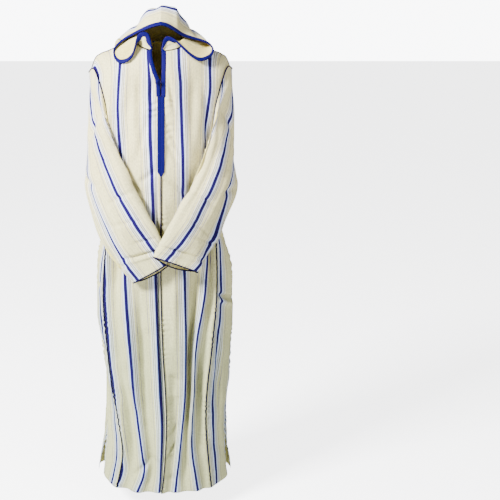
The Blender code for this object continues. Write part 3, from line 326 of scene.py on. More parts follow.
def along_rows(grid, columns):
    """The points of each row at these places, which may lie between two columns."""
    low = np.clip(columns.astype(int), 0, grid.shape[1] - 2)
    part = (columns - low)[..., None]
    row = np.arange(len(grid))[:, None]
    return grid[row, low] * (1 - part) + grid[row, low + 1] * part


def shoulder_height(x):
    """Height of the shoulder line at a place across the body."""
    return smooth(SHOULDER_LINE[:, 0], SHOULDER_LINE[:, 1], np.abs(x))


def body_height(x, level):
    """Height of the body's form at a place across it and a level."""
    return shoulder_height(x) * (1 - ease(level, 0.0, SHOULDER_FADE)) - level


def half_width(level, side):
    """Half width of the body's section at a level, on one side."""
    return smooth(BODY_SECTIONS[:, 0], BODY_SECTIONS[:, 1 if side == RIGHT else 2], level)


def half_depth(level, back):
    """Depth of the body's section at a level, in front or behind."""
    return smooth(BODY_SECTIONS[:, 0], BODY_SECTIONS[:, 4 if back else 3], level)


def width_at(x, level):
    """Half width of the section on the side that each place lies on."""
    return np.where(x < 0, half_width(level, RIGHT), half_width(level, LEFT))


def depth_at(y, level):
    """Depth of the section in front or behind, wherever each place lies."""
    return np.where(y < 0, half_depth(level, False), half_depth(level, True))


def angle_of(out, level, side):
    """The angle round the section, from its middle, of a place that far out towards one side."""
    share = np.clip(np.abs(out) / half_width(level, side), 0, 1)
    return np.sign(out) * np.arcsin(share ** (SQUARENESS / 2))


def body_point(angle, level, side, back=False):
    """A point on the body's form. The angle runs from 0 in the middle to a quarter turn at the side."""
    level = np.asarray(level, float)
    power = 2 / SQUARENESS
    x = side * half_width(level, side) * np.sign(angle) * np.abs(np.sin(angle)) ** power
    rolled = np.clip(level / SHOULDER_ROUND, 0, 1)
    deep = half_depth(level, back) * np.sqrt(np.clip(1 - (1 - rolled) ** 2, 0, 1))
    y = deep * np.sign(np.cos(angle)) * np.abs(np.cos(angle)) ** power * (1 if back else -1)
    return np.stack(np.broadcast_arrays(x, y, body_height(x, level)), axis=-1)


def body_normal(angle, level, side, back=False):
    """The outward direction of the body's form, from two short steps on it."""
    level = np.maximum(np.asarray(level, float), STEP)
    angle = np.asarray(angle, float)
    down = body_point(angle, level + STEP, side, back) - body_point(angle, level - STEP, side, back)
    across = body_point(angle + STEP, level, side, back) - body_point(angle - STEP, level, side, back)
    return unit(np.cross(across, down) * side * (1 if back else -1))


def armhole_angle(level):
    """The armhole edge's distance round from the side seam, as an angle, at a level."""
    half = UNDERARM_LEVEL / 2
    height = np.clip((half - level) / half, -1, 1)
    return ARMHOLE_SWEEP * np.sqrt(1 - height**2)


def armhole_level(angle_from_side):
    """The lower level at which the armhole edge is that far round from the side seam."""
    half = UNDERARM_LEVEL / 2
    share = np.clip(angle_from_side / ARMHOLE_SWEEP, 0, 1)
    return half + half * np.sqrt(1 - share**2)


def seam_angle(threads, side, level):
    """The side seam's angle at a level. The back panel's seam mirrors the front's."""
    rows = threads["rows"]
    return angle_of(smooth(rows[:, 0], rows[:, -1], level), level, side)


def gore_corner():
    """The level at which the four gore seams run into the armholes."""
    levels = np.linspace(UNDERARM_LEVEL / 2, UNDERARM_LEVEL, 400)
    apart = math.pi / 2 - armhole_angle(levels) - seam_angle(LEFT_THREADS, LEFT, levels)
    return float(levels[np.argmin(np.abs(apart))])


def panel_edge(threads, side, level):
    """The angle of a panel's outer edge: the armhole down to the corner, and below it the side seam."""
    corner = gore_corner()
    armhole = math.pi / 2 - armhole_angle(np.minimum(level, corner))
    return np.where(level < corner, armhole, seam_angle(threads, side, level))


def neck_level(x, drop):
    """The neckline's level at a place across the body."""
    return drop * np.sqrt(np.clip(1 - (x / NECK_HALF) ** 2, 0, 1))


def armhole_ring(side, turn):
    """The armhole's points. The turn runs from the front over the shoulder tip to the back and under."""
    half = UNDERARM_LEVEL / 2
    level = half - half * np.sin(turn)
    angle = math.pi / 2 - ARMHOLE_SWEEP * np.abs(np.cos(turn))
    front = body_point(angle, level, side)
    rear = body_point(angle, level, side, back=True)
    in_front = (np.cos(turn) >= 0)[:, None]
    out = np.where(in_front, body_normal(angle, level, side), body_normal(angle, level, side, back=True))
    return np.where(in_front, front, rear), out


def push_off_body(points, gap):
    """The points, moved out along their section where they would lie in the body."""
    level = np.maximum(-points[..., 2], 0.0)
    x, y = points[..., 0], points[..., 1]
    across = np.abs(x) / (width_at(x, level) + gap)
    deep = np.abs(y) / (depth_at(y, level) + gap)
    size = (across**SQUARENESS + deep**SQUARENESS) ** (1 / SQUARENESS)
    moved = points.copy()
    moved[..., :2] *= np.maximum(1 / np.maximum(size, 0.2), 1)[..., None]
    return moved


def neck_seam(angle, side):
    """The neck seam at an angle from the nape, just clear of the body's neckline."""
    x = NECK_HALF * np.abs(np.sin(angle))
    front = angle > math.pi / 2
    level = neck_level(x, np.where(front, NECK_FRONT_DROP, NECK_BACK_DROP))
    turned = angle_of(x, level, side)
    fore = body_point(turned, level, side)
    aft = body_point(turned, level, side, back=True)
    return np.where(front[:, None], fore, aft) + np.array((0, 0, NECK_CLEAR))


def hood_half(edge, inner, side):
    """One side's control rows from throat to brow: the edge, three places behind it, the neck seam."""
    lengths = run_along(edge)
    front = smooth(lengths / lengths[-1], edge, HOOD_SHARES)
    after = smooth(inner[:, 0], inner[:, 1:], HOOD_SHARES)
    seam = neck_seam(np.radians(after[:, 9]), side)
    return np.concatenate([front[:, None], after[:, :9].reshape(-1, 3, 3), seam[:, None]], axis=1)


def hood_sections(places):
    """The hood's sections at the given shares of the way from its front edge to the neck seam."""
    right = hood_half(HOOD_EDGE_RIGHT, HOOD_INNER_RIGHT, RIGHT)
    left = hood_half(HOOD_EDGE_LEFT, HOOD_INNER_LEFT, LEFT)
    sections = np.swapaxes(np.concatenate([right, left[-2::-1]]), 0, 1)
    return np.swapaxes(smooth(HOOD_KNOTS, sections, places), 0, 1)


def level_at(points):
    """The level of the body's form at each point's height."""
    rise = shoulder_height(points[..., 0])
    level = np.maximum(rise - points[..., 2], 0)
    for _ in range(20):
        level = np.maximum(rise * (1 - ease(level, 0.0, SHOULDER_FADE)) - points[..., 2], 0)
    return level


def lift_off_body(points, gap):
    """The points, moved up or out, whichever is nearer, where they would lie in the shoulders."""
    x, y, z = points[..., 0], points[..., 1], points[..., 2]
    level = level_at(points)
    across = np.clip(np.abs(x) / width_at(x, level), 0, 1)
    reach = depth_at(y, level) * np.clip(1 - across**SQUARENESS, 0, 1) ** (1 / SQUARENESS)
    rolled = np.clip(level / SHOULDER_ROUND, 0, 1)
    out_needed = reach * np.sqrt(1 - (1 - rolled) ** 2) + gap - np.abs(y)
    share = np.clip((np.abs(y) - gap) / np.maximum(reach, 1e-6), 0, 1)
    crest = SHOULDER_ROUND * (1 - np.sqrt(1 - share**2))
    up_needed = body_height(x, crest) + gap - z
    inside = (out_needed > 0) & (up_needed > 0)
    moved = points.copy()
    raise_it = inside & (up_needed <= out_needed)
    push_it = inside & ~raise_it
    moved[..., 2] += np.where(raise_it, up_needed, 0)
    moved[..., 1] += np.where(push_it, out_needed * np.where(y < 0, -1, 1), 0)
    return moved


# ---------------------------------------------------------------- finer sizes of the visible cloth
SHELL = 0.0011            # thickness of the shown cloth
REPEAT = 0.100            # the stripes repeat at this distance
FRONT_STEPS, BACK_STEPS, GORE_STEPS = 80, 100, 34
LOW_ROWS, CHEST_ROWS, TOP_ROWS = 286, 44, 24
RING_STEPS, SLEEVE_ROWS = 144, 136
HOOD_SHARES = np.concatenate([np.linspace(0, 0.17, 40), np.linspace(0.17, 1, 120)[1:]])
HOOD_COLUMNS, HOOD_EDGE_COLUMNS, HOOD_FINE = 84, 7, 120
HEM_CALM, HEM_CALM_START = 0.60, 1.10   # share of the folds' depth gone at the hem, from this level
HEM_BAND = 0.025          # height of the turned hem
CREASING, PUCKER, SLACK = 2.2, 3.0, 2.4      # how strong the creases, puckers and waves are
# Puckers. Columns: height, length of a ripple, reach on either side of the seam.
PLACKET_PUCKER = (0.0012, 0.0180, 0.020)
CENTRE_PUCKER = (0.0009, 0.0175, 0.018)
FRONT_SEAM_PUCKER = (0.0010, 0.0190, 0.018)
SIDE_SEAM_PUCKER = (0.0011, 0.0230, 0.028)
BACK_SEAM_PUCKER = (0.0009, 0.0170, 0.014)
CUFF_PUCKER = (0.0006, 0.0130, 0.012)
SEAM_DIP, SEAM_DIP_WIDTH = 0.0016, 0.0045
STITCH_WIDTH = 0.0022     # width of the line that a row of stitches pulls in
HEM_STITCH, CUFF_STITCH = 0.0009, 0.0008     # and its depth at the hem and at the cuff
CUFF_BAND = 0.014         # height of the turned cuff
SEAM_CUT = 1.25           # a panel's outer strip is cut to at most this share of its way across
EDGE_CALM = 0.02          # the waves of the cloth die away over this width at a seam
SHOULDER_CALM = 0.04      # and over this height at the shoulder seam
BRAID_ROW, PLACKET_ROW = 0.0008, 0.0007      # step along a folded braid and along the placket
EDGE_ROWS, PLACKET_COLUMNS = 240, 25
KNOT_ROWS, KNOT_SIDES, KNOT_ROUNDS, KNOT_WIND = 33, 48, 3, 4.8
HOOD_STRIPE = 0.080       # first blue stripe of the hood, from its front edge
SLEEVE_SEAM = math.radians(200)      # where the sleeve's own seam lies round it

# Where the sleeve's main blue stripe runs: share of the way down, and arc from the inner fold.
STRIPE_LEFT = ((0.0, 0.190), (0.09, 0.148), (0.18, 0.112), (0.27, 0.080), (0.36, 0.068),
               (0.55, 0.070), (0.73, 0.073), (0.86, 0.062), (1.0, 0.044))
STRIPE_RIGHT = ((0.0, 0.190), (0.09, 0.150), (0.18, 0.116), (0.27, 0.078), (0.36, 0.066),
                (0.55, 0.066), (0.73, 0.057), (0.86, 0.046), (1.0, 0.033))


# ---------------------------------------------------------------- creases
def crease(u, v, start, end, width, depth):
    """A soft trough (or ridge, if depth is negative) along a straight line on the flat cloth. Its
    section is a bell, and it fades towards both ends."""
    ax, ay = start
    bx, by = end
    length = math.hypot(bx - ax, by - ay)
    ex, ey = (bx - ax) / length, (by - ay) / length
    along = ((u - ax) * ex + (v - ay) * ey) / length
    across = (v - ay) * ex - (u - ax) * ey
    inside = np.clip(along, 0, 1)
    beyond = (along - inside) * length
    fade = 0.25 + 0.75 * np.sin(math.pi * np.clip(inside, 0.02, 0.98)) ** 0.7
    return -depth * np.exp(-(across**2 + beyond**2) / width**2) * fade


def creases(u, v, table):
    """All the creases of a table with the columns u, v of the start, u, v of the end, width, depth."""
    total = np.zeros(np.broadcast(u, v).shape)
    for ua, va, ub, vb, width, depth in table:
        total = total + crease(u, v, (ua, va), (ub, vb), width, depth)
    return CREASING * total


def slack(u, v, size, seed):
    """The cloth's own unevenness: four long waves in different directions, of this height."""
    total = 0.0
    for k, (wave, turn) in enumerate(((0.190, 0.25), (0.113, -0.60), (0.071, 1.05), (0.043, 0.10))):
        phase = seed * (1.7 + 0.9 * k)
        bend = 0.02 * np.sin(9.0 * v + phase)
        along = (u + bend) * math.cos(turn) + v * math.sin(turn)
        total = total + 0.45**k * np.sin(2 * math.pi * along / wave + phase)
    return SLACK * size * total


def pucker(distance, along, size, wave, reach, seed):
    """Seam pucker: uneven ripples along a seam that die away from it as a bell."""
    bend = 0.35 * np.sin(2 * math.pi * along / 0.171 + seed)
    bend = bend + 0.25 * np.sin(2 * math.pi * along / 0.067 + 2 * seed)
    ripple = np.sin(2 * math.pi * along / wave + 4 * bend)
    strength = 0.50 + 0.50 * np.sin(2 * math.pi * along / 0.31 + 3 * seed)
    strength = strength * (0.60 + 0.40 * np.sin(2 * math.pi * along / 0.117 + 5 * seed))
    return PUCKER * size * ripple * strength * np.exp(-(distance / reach) ** 2)


def seam_dip(distance):
    """The hollow in which a seam lies: a narrow bell."""
    return -SEAM_DIP * np.exp(-(distance / SEAM_DIP_WIDTH) ** 2)


def stitch_line(distance, depth):
    """The fine line that a row of stitches pulls in: a narrow bell."""
    return depth * np.exp(-((distance / STITCH_WIDTH) ** 2))


def hem_band(v):
    """The turned hem stands out by its second layer, and its stitches pull in a fine line."""
    band = 0.0007 * (1 - ease(v, HEM_BAND - 0.001, HEM_BAND + 0.001))
    return band - stitch_line(v - HEM_BAND + 0.002, HEM_STITCH)


# ---------------------------------------------------------------- meshes
def finish_piece(obj, nodes):
    """The piece rides on the robe and stands for its solids, which it hides."""
    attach(obj, "root")
    if nodes:
        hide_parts(*nodes)


def mesh_object(name, points, faces, uv, materials, outward):
    """An object of quads, with a map of the flat cloth at each face corner. Faces that would look
    inwards are turned as a whole."""
    faces = np.asarray(faces)
    points = np.asarray(points, float)
    a, b, c = points[faces[:, 0]], points[faces[:, 1]], points[faces[:, 2]]
    if (np.cross(b - a, c - a) * outward[faces[:, 0]]).sum() < 0:
        faces = faces[:, ::-1]
        uv = uv[:, ::-1]
    mesh = bpy.data.meshes.new(name)
    mesh.from_pydata(points.tolist(), [], faces.tolist())
    layer = mesh.uv_layers.new(name="cloth")
    layer.data.foreach_set("uv", np.ascontiguousarray(uv, dtype=np.float32).ravel())
    mesh.shade_smooth()
    for material in materials:
        mesh.materials.append(material)
    obj = bpy.data.objects.new(name, mesh)
    bpy.context.scene.collection.objects.link(obj)
    return obj


def grid_faces(rows, columns, wraps=False):
    """Quads of a grid of points, and for each quad the row and column of its corners in the map."""
    wide = columns if wraps else columns - 1
    r, c = np.meshgrid(np.arange(rows - 1), np.arange(wide), indexing="ij")
    r, c = r.ravel(), c.ravel()
    d = (c + 1) % columns
    row, below = r * columns, (r + 1) * columns
    quads = np.stack([row + c, row + d, below + d, below + c], axis=1)
    map_wide = wide + 1
    start = r * map_wide + c
    marks = np.stack([start, start + 1, start + map_wide + 1, start + map_wide], axis=1)
    return quads, marks


def cloth_piece(name, points, outward, u, v, node, wraps=False):
    """A shell of striped cloth on a grid of points that are its outer face. u and v have one more
    column than the points where the grid closes on itself."""
    rows, columns = points.shape[:2]
    quads, marks = grid_faces(rows, columns, wraps)
    uv = np.stack([u.ravel(), v.ravel()], axis=1)[marks]
    obj = mesh_object(name, points.reshape(-1, 3), quads, uv, (CREPE, CREPE_WRONG_SIDE),
                      outward.reshape(-1, 3))
    shell = obj.modifiers.new("thickness", "SOLIDIFY")
    shell.thickness = SHELL
    shell.offset = -1
    shell.material_offset = 1
    shell.material_offset_rim = 0
    finish_piece(obj, [node])


def arc_of(points):
    """Arc length along each row of a grid, from its first column."""
    step = np.linalg.norm(np.diff(points, axis=1), axis=2)
    return np.concatenate([np.zeros((len(points), 1)), np.cumsum(step, axis=1)], axis=1)


def cord_normals(path, closed=False):
    """Two directions across a path at each point, carried along it without twist."""
    if closed:
        ahead = unit(np.roll(path, -1, axis=0) - np.roll(path, 1, axis=0))
    else:
        ahead = unit(np.gradient(path, axis=0))
    fixed = np.array((0.31, 0.52, 0.79))
    across = unit(fixed - ahead * (ahead @ fixed)[:, None])
    return across, np.cross(ahead, across)


def resample(path, step, closed=False):
    """The path at even steps of its length."""
    path = np.asarray(path, float)
    if closed:
        path = np.concatenate([path, path[:1]])
    run = run_along(path)
    count = max(8, int(run[-1] / step))
    at = np.linspace(0, run[-1], count, endpoint=not closed)
    return np.stack([np.interp(at, run, path[:, k]) for k in range(3)], axis=1)


def cord_rings(path, across, upward, angle, wide):
    """The directions of the rings' points from the path at these angles, and the points."""
    ring = np.cos(angle)[..., None] * across[:, None] + np.sin(angle)[..., None] * upward[:, None]
    return ring, path[:, None] + ring * wide[..., None]


def close_turn(first, last, count):
    """How far each ring of a closed cord is turned, so that the last one meets the first."""
    gaps = [np.linalg.norm(np.roll(first, -k, axis=0) - last, axis=1).sum() for k in range(CORD_SIDES)]
    shift = int(np.argmin(gaps))
    shift = shift if shift <= CORD_SIDES / 2 else shift - CORD_SIDES
    return -shift * np.arange(count)[:, None] / count * 2 * math.pi / CORD_SIDES


def twisted_cord(name, path, radius, material, nodes, closed=False, lay=CORD_LAY):
    """A cord of two twisted strands: a ring round the path whose radius swells twice a turn, with the
    swelling turned on along the path by half a turn for each lay."""
    step = radius * 0.8
    path = resample(path, step, closed)
    across, upward = cord_normals(path, closed)
    count = len(path)
    run = np.arange(count) * step
    twist = math.pi * run / lay
    if closed:
        twist = 2 * math.pi * max(1, round(run[-1] / (2 * lay))) * np.arange(count) / count
    turn = np.arange(CORD_SIDES) * 2 * math.pi / CORD_SIDES
    wide = radius * (0.86 + 0.20 * np.cos(2 * turn[None] - twist[:, None]) ** 2)
    if not closed:
        wide[[0, -1]] *= 0.3
    angle = turn[None] + np.zeros((count, 1))
    ring, points = cord_rings(path, across, upward, angle, wide)
    if closed:
        angle = angle + close_turn(points[0], points[-1], count)
        ring, points = cord_rings(path, across, upward, angle, wide)
    quads, marks = grid_faces(count, CORD_SIDES, wraps=True)
    v = run[:, None] * np.ones(CORD_SIDES + 1)
    u = np.arange(CORD_SIDES + 1)[None] * (2 * math.pi * radius / CORD_SIDES) * np.ones((count, 1))
    uv = np.stack([u.ravel(), v.ravel()], axis=1)[marks]
    if closed:
        here = np.arange(CORD_SIDES)
        beside = (here + 1) % CORD_SIDES
        last = (count - 1) * CORD_SIDES
        quads = np.concatenate([quads, np.stack([last + here, last + beside, beside, here], axis=1)])
        uv = np.concatenate([uv, uv[:CORD_SIDES]])
    obj = mesh_object(name, points.reshape(-1, 3), quads, uv, (material,), ring.reshape(-1, 3))
    if not closed:
        cap_ends(obj, count, CORD_SIDES)
    finish_piece(obj, nodes)


def cap_ends(obj, rows, sides):
    """Closes both ends of a tube with one face each."""
    edit = bmesh.new()
    edit.from_mesh(obj.data)
    edit.verts.ensure_lookup_table()
    for start in (0, (rows - 1) * sides):
        edit.faces.new([edit.verts[start + k] for k in range(sides)])
    bmesh.ops.recalc_face_normals(edit, faces=edit.faces)
    edit.to_mesh(obj.data)
    edit.free()
    obj.data.shade_smooth()


def ribbon(name, stations, node):
    """A closed band carried along a path: the stations are a grid of rows round the band's section."""
    rows, sides = stations.shape[:2]
    quads, marks = grid_faces(rows, sides, wraps=True)
    closed = np.concatenate([stations, stations[:, :1]], axis=1)
    u = arc_of(closed)
    middle = stations.mean(axis=1)
    v = run_along(middle)[:, None] * np.ones(sides + 1)
    uv = np.stack([u.ravel(), v.ravel()], axis=1)[marks]
    outward = stations - middle[:, None]
    obj = mesh_object(name, stations.reshape(-1, 3), quads, uv, (BRAID,), outward.reshape(-1, 3))
    cap_ends(obj, rows, sides)
    finish_piece(obj, [node])


def rib(across, along):
    """The braid's ribs: ridges that slant one way on one half and the other way on the other."""
    return np.cos(2 * math.pi * (along + RIB_SLANT * np.abs(across)) / RIB_PITCH)


# ---------------------------------------------------------------- body panels
def body_levels(top):
    """Rows of levels from the hem to each column's top, evenly spaced over the shoulder's roll."""
    corner = gore_corner()
    low = np.concatenate([np.linspace(HEM_LEVEL, corner, LOW_ROWS, endpoint=False),
                          np.linspace(corner, SHOULDER_ROUND, CHEST_ROWS)])
    quarter = math.pi / 2
    end = np.arccos(1 - top / SHOULDER_ROUND)[None]
    q = quarter + (end - quarter) * np.linspace(0, 1, TOP_ROWS + 1)[1:, None]
    return np.concatenate([low[:, None] * np.ones(len(top)), SHOULDER_ROUND * (1 - np.cos(q))])


def front_form(threads, side):
    """A front panel on the body's form. Each row runs through the threads of the table, and the
    spare cloth between two threads sinks in one fold, as sine squared of the way between them."""
    rows, cloth = threads["rows"], np.asarray(threads["cloth"])
    columns = np.linspace(0, cloth[-1], FRONT_STEPS)
    top_angles = angle_of(rows[0, 1:], 0.0, side)
    top_angles[-1] = math.pi / 2
    top_x = half_width(0.0, side) * np.sin(np.interp(columns, cloth, top_angles)) ** (2 / SQUARENESS)
    levels = body_levels(neck_level(top_x, NECK_FRONT_DROP))
    at = levels[:, -1]
    outs = smooth(rows[:, 0], rows[:, 1:], at)
    outs[:, 0] = np.where(at < PLACKET_TIP, np.maximum(outs[:, 0], 0), outs[:, 0])
    knots = angle_of(outs, at[:, None], side)
    knots[:, 3] = panel_edge(threads, side, at)
    knots[:, 2] = np.minimum(knots[:, 2], knots[:, 1] + STRIPE_SHARE * (knots[:, 3] - knots[:, 1]))
    places = body_point(knots, at[:, None] * np.ones(4), side)
    chords = np.linalg.norm(np.diff(places[..., :2], axis=1), axis=2)
    spare = np.sqrt(np.clip(np.diff(cloth) ** 2 - chords**2, 0, None)) * FOLD_SHARE
    interval = np.clip(np.searchsorted(cloth, columns, side="right") - 1, 0, 2)
    t = (columns - cloth[interval]) / (cloth[interval + 1] - cloth[interval])
    sink = np.minimum(spare, FOLD_LIMIT)[:, interval] * ease(levels, FOLD_START, FOLD_FULL)
    sink = sink * (1 - HEM_CALM * ease(levels, HEM_CALM_START, HEM_LEVEL))
    angle = knots[:, interval] + (knots[:, interval + 1] - knots[:, interval]) * t
    outward = body_normal(angle, levels, side)
    points = body_point(angle, levels, side) - outward * (sink * np.sin(math.pi * t) ** 2)[..., None]
    last = np.minimum(cloth[3] - cloth[2], SEAM_CUT * chords[:, 2:])
    u = np.where(interval == 2, cloth[2] + t * last, columns[None] * np.ones(levels.shape))
    return points, outward, levels, u, columns


def front_panel(threads, side, word, table, seed):
    """A front panel with its folds, puckers, creases and hem."""
    points, outward, levels, u, columns = front_form(threads, side)
    v = HEM_LEVEL - levels
    calm = ease(levels, 0.0, SHOULDER_CALM)
    below = ease(levels, gore_corner() - 0.01, gore_corner() + 0.03)
    from_seam = threads["cloth"][-1] - columns[None]
    raised = slack(u, v, 0.0011, seed) * ease(columns, 0, EDGE_CALM) * ease(from_seam, 0, EDGE_CALM)
    raised = raised + creases(u, v, table)
    raised = raised + (seam_pucker(from_seam, levels, side) + seam_dip(from_seam)) * below
    slit = ease(levels, BRAID_LEVEL - 0.01, BRAID_LEVEL + 0.02)
    near_placket = slit * (1 - ease(levels, PLACKET_TIP, PLACKET_TIP + 0.05))
    beside = ease(columns, PLACKET_HALF, PLACKET_HALF + 0.006)
    raised = raised + pucker(columns - 0.020, levels, *PLACKET_PUCKER, 1.3 * seed) * near_placket * beside
    open_seam = ease(levels, PLACKET_TIP - 0.02, PLACKET_TIP + 0.03)
    raised = raised + (centre_pucker(columns[None], levels) + seam_dip(columns[None])) * open_seam
    raised = raised * calm + hem_band(v)
    points = points + outward * raised[..., None]
    cloth_piece(f"front_panel_{word}", points, outward, u - threads["cloth"][1], v, f"front_{word}")
    return points, outward, levels


def seam_pucker(distance, levels, side):
    """The pucker of the seam between a front panel and its gore, the same on both pieces."""
    return pucker(distance, levels, *FRONT_SEAM_PUCKER, 2.0 + side)


def centre_pucker(distance, levels):
    """The pucker of the centre-front seam, the same on both panels."""
    return pucker(distance, levels, *CENTRE_PUCKER, 5.0)


def side_pucker(distance, levels, side):
    """The pucker of the side seam between the two gores, stronger than the others."""
    return pucker(distance, levels, *SIDE_SEAM_PUCKER, 3.4 + side)


def gore(threads, side, back, word, table, seed):
    """A gore from its seam with the front or back panel to the side seam. It stands out at its
    middle as sine squared, and below the side slit its free edge swings out."""
    share = np.linspace(0, 1, GORE_STEPS)
    top = np.full(GORE_STEPS, gore_corner())
    for _ in range(12):
        seam = seam_angle(threads, side, top)
        angle = seam + (math.pi / 2 - seam) * share
        top = np.where(share > 0, armhole_level(math.pi / 2 - angle), top)
    levels = HEM_LEVEL + (top[None] - HEM_LEVEL) * np.linspace(0, 1, LOW_ROWS)[:, None]
    seam = seam_angle(threads, side, levels)
    angle = seam + (math.pi / 2 - seam) * share[None]
    points = body_point(angle, levels, side, back)
    outward = body_normal(angle, levels, side, back)
    flare = smooth(GORE_FLARE[:, 0], GORE_FLARE[:, 2 if back else 1], levels)
    points = points + outward * (flare * np.sin(math.pi * share) ** 2)[..., None]
    u = arc_of(points)
    from_side = u[:, -1:] - u
    v = HEM_LEVEL - levels
    raised = slack(u, v, 0.0013, seed) * ease(u, 0, EDGE_CALM) * ease(from_side, 0, EDGE_CALM)
    raised = raised + creases(u, v, table)
    if back:
        raised = raised + pucker(u, levels, *BACK_SEAM_PUCKER, 7 + side)
    else:
        raised = raised + seam_pucker(u, levels, side)
    raised = raised + side_pucker(from_side, levels, side) + seam_dip(u) + 0.8 * seam_dip(from_side)
    points = points + outward * (raised + hem_band(v))[..., None]
    swing = BACK_SWING if back else FRONT_SWING
    hinge = share[None] ** 2 * ease(levels, SIDE_SLIT_LEVEL, HEM_LEVEL)
    points = points + hinge[..., None] * np.array((side * swing[0], swing[1], 0))
    place = "back" if back else "front"
    cloth_piece(f"side_gore_{place}_{word}", points, outward, u - GORE_STRIPE, v, f"gore_{place}_{word}")
    return points


def back_panel(table):
    """The back panel from the wearer's right to left. Its folds are bells across the panel that
    deepen downwards."""
    place = np.linspace(-1, 1, BACK_STEPS)
    width = np.where(place < 0, half_width(0.0, RIGHT), half_width(0.0, LEFT))
    top_x = width * np.sin(np.abs(place) * math.pi / 2) ** (2 / SQUARENESS)
    levels = body_levels(np.where(top_x < NECK_HALF, neck_level(top_x, NECK_BACK_DROP), 0.0))
    points = np.zeros(levels.shape + (3,))
    outward = np.zeros(levels.shape + (3,))
    for side, threads in ((RIGHT, RIGHT_THREADS), (LEFT, LEFT_THREADS)):
        mine = place < 0 if side == RIGHT else place >= 0
        edge = panel_edge(threads, side, levels[:, 0 if side == RIGHT else -1])
        angle = edge[:, None] * np.abs(place[mine])[None]
        points[:, mine] = body_point(angle, levels[:, mine], side, back=True)
        outward[:, mine] = body_normal(angle, levels[:, mine], side, back=True)
    share = (place + 1) / 2
    sink = np.zeros(levels.shape)
    for middle, wide, depth, start in BACK_FOLDS:
        shape = np.exp(-(((share - middle) / (wide / 2)) ** 2)) * np.sin(math.pi * share) ** 0.5
        sink += depth * shape[None] * ease(levels, start, start + BACK_FOLD_OPENING)
    u = place[None] * BACK_HALF_CUT * np.ones(levels.shape)
    v = HEM_LEVEL - levels
    edge = BACK_HALF_CUT * (1 - np.abs(place))[None]
    below = ease(levels, gore_corner() - 0.01, gore_corner() + 0.03)
    calm = ease(levels, 0.0, SHOULDER_CALM) * ease(edge, 0, EDGE_CALM)
    raised = (slack(u, v, 0.0016, 4.1) + creases(u, v, table)) * calm
    side_of = np.where(place < 0, RIGHT, LEFT)[None]
    raised = raised + (pucker(edge, levels, *BACK_SEAM_PUCKER, 7 + side_of) + seam_dip(edge)) * below
    points = points + outward * (raised - sink + hem_band(v))[..., None]
    cloth_piece("back_panel", points, outward, u + REPEAT / 2, v, "back")


# ---------------------------------------------------------------- sleeves
def sleeve(rows, side, word, stripe, table, seed):
    """A sleeve: rings that are flattened ovals round two folded edges, from the armhole to the cuff,
    moved off the body where they would lie in it."""
    turn = SLEEVE_SEAM - 2 * math.pi + np.arange(RING_STEPS) * 2 * math.pi / RING_STEPS
    inner, outer, bulge = rows[:, :3], rows[:, 3:6], rows[:, 6]
    middle = (inner + outer) / 2
    path = unit(np.gradient(middle, axis=0))
    chord = inner - outer
    stand = unit(np.cross(chord, path)) * side
    power = 2 / SLEEVE_SQUARENESS
    cosine = np.sign(np.cos(turn)) * np.abs(np.cos(turn)) ** power
    sine = np.sign(np.sin(turn)) * np.abs(np.sin(turn)) ** power
    depth = np.where(sine > 0, sine, sine * SLEEVE_BACK)
    rings = (middle[:, None] + chord[:, None] / 2 * cosine[None, :, None]
             + stand[:, None] * bulge[:, None, None] * depth[None, :, None])
    rings[-1] += (np.clip(-sine, 0, 1) ** 3)[:, None] * path[-1] * CUFF_LIP
    first, out = armhole_ring(side, turn)
    spread = first - first.mean(axis=0)
    spread = unit(spread - out * (spread * out).sum(-1, keepdims=True))
    lift = SLEEVE_LIFT + SLEEVE_TIP_LIFT * np.clip(np.sin(turn), 0, 1) ** 2
    first = first + spread * SLEEVE_LAP + out * lift[:, None]
    at = np.linspace(0, 1, SLEEVE_ROWS)
    points = smooth(SLEEVE_KNOTS, np.concatenate([first[None], rings]), at)
    pushed = push_off_body(points, SLEEVE_CLEAR + CLOTH)
    points = points + (pushed - points) * ease(at, 0.0, SLEEVE_EASE)[:, None, None]
    around = (np.roll(points, -1, axis=1) - np.roll(points, 1, axis=1)) / 2
    outward = unit(np.cross(around, np.gradient(points, axis=0)))
    middle = points.mean(axis=1, keepdims=True)
    outward = outward * np.sign((outward * (points - middle)).sum(-1).mean())
    arc = arc_of(np.concatenate([points, points[:, :1]], axis=1))
    fold = np.argmin(np.abs(turn))
    arc = arc - arc[:, fold:fold + 1]
    down = run_along(middle[:, 0])[-1] * at[:, None] * np.ones(RING_STEPS + 1)
    main = np.interp(at, [s for s, _ in stripe], [a for _, a in stripe])[:, None]
    u = arc - main
    near, low = arc[:, :-1], down[:, :-1]
    to_cuff = low[-1:] - low
    raised = slack(near, low, 0.0015, seed) * ease(low, 0.0, 0.04) + creases(near, low, table)
    raised = raised - stitch_line(to_cuff - CUFF_BAND, CUFF_STITCH)
    raised = raised + pucker(to_cuff, near, *CUFF_PUCKER, seed) * ease(to_cuff, 0.0, 0.004)
    points = points + outward * raised[..., None]
    cloth_piece(f"sleeve_cloth_{word}", points, outward, u, down, f"sleeve_{word}", wraps=True)
    return points, outward


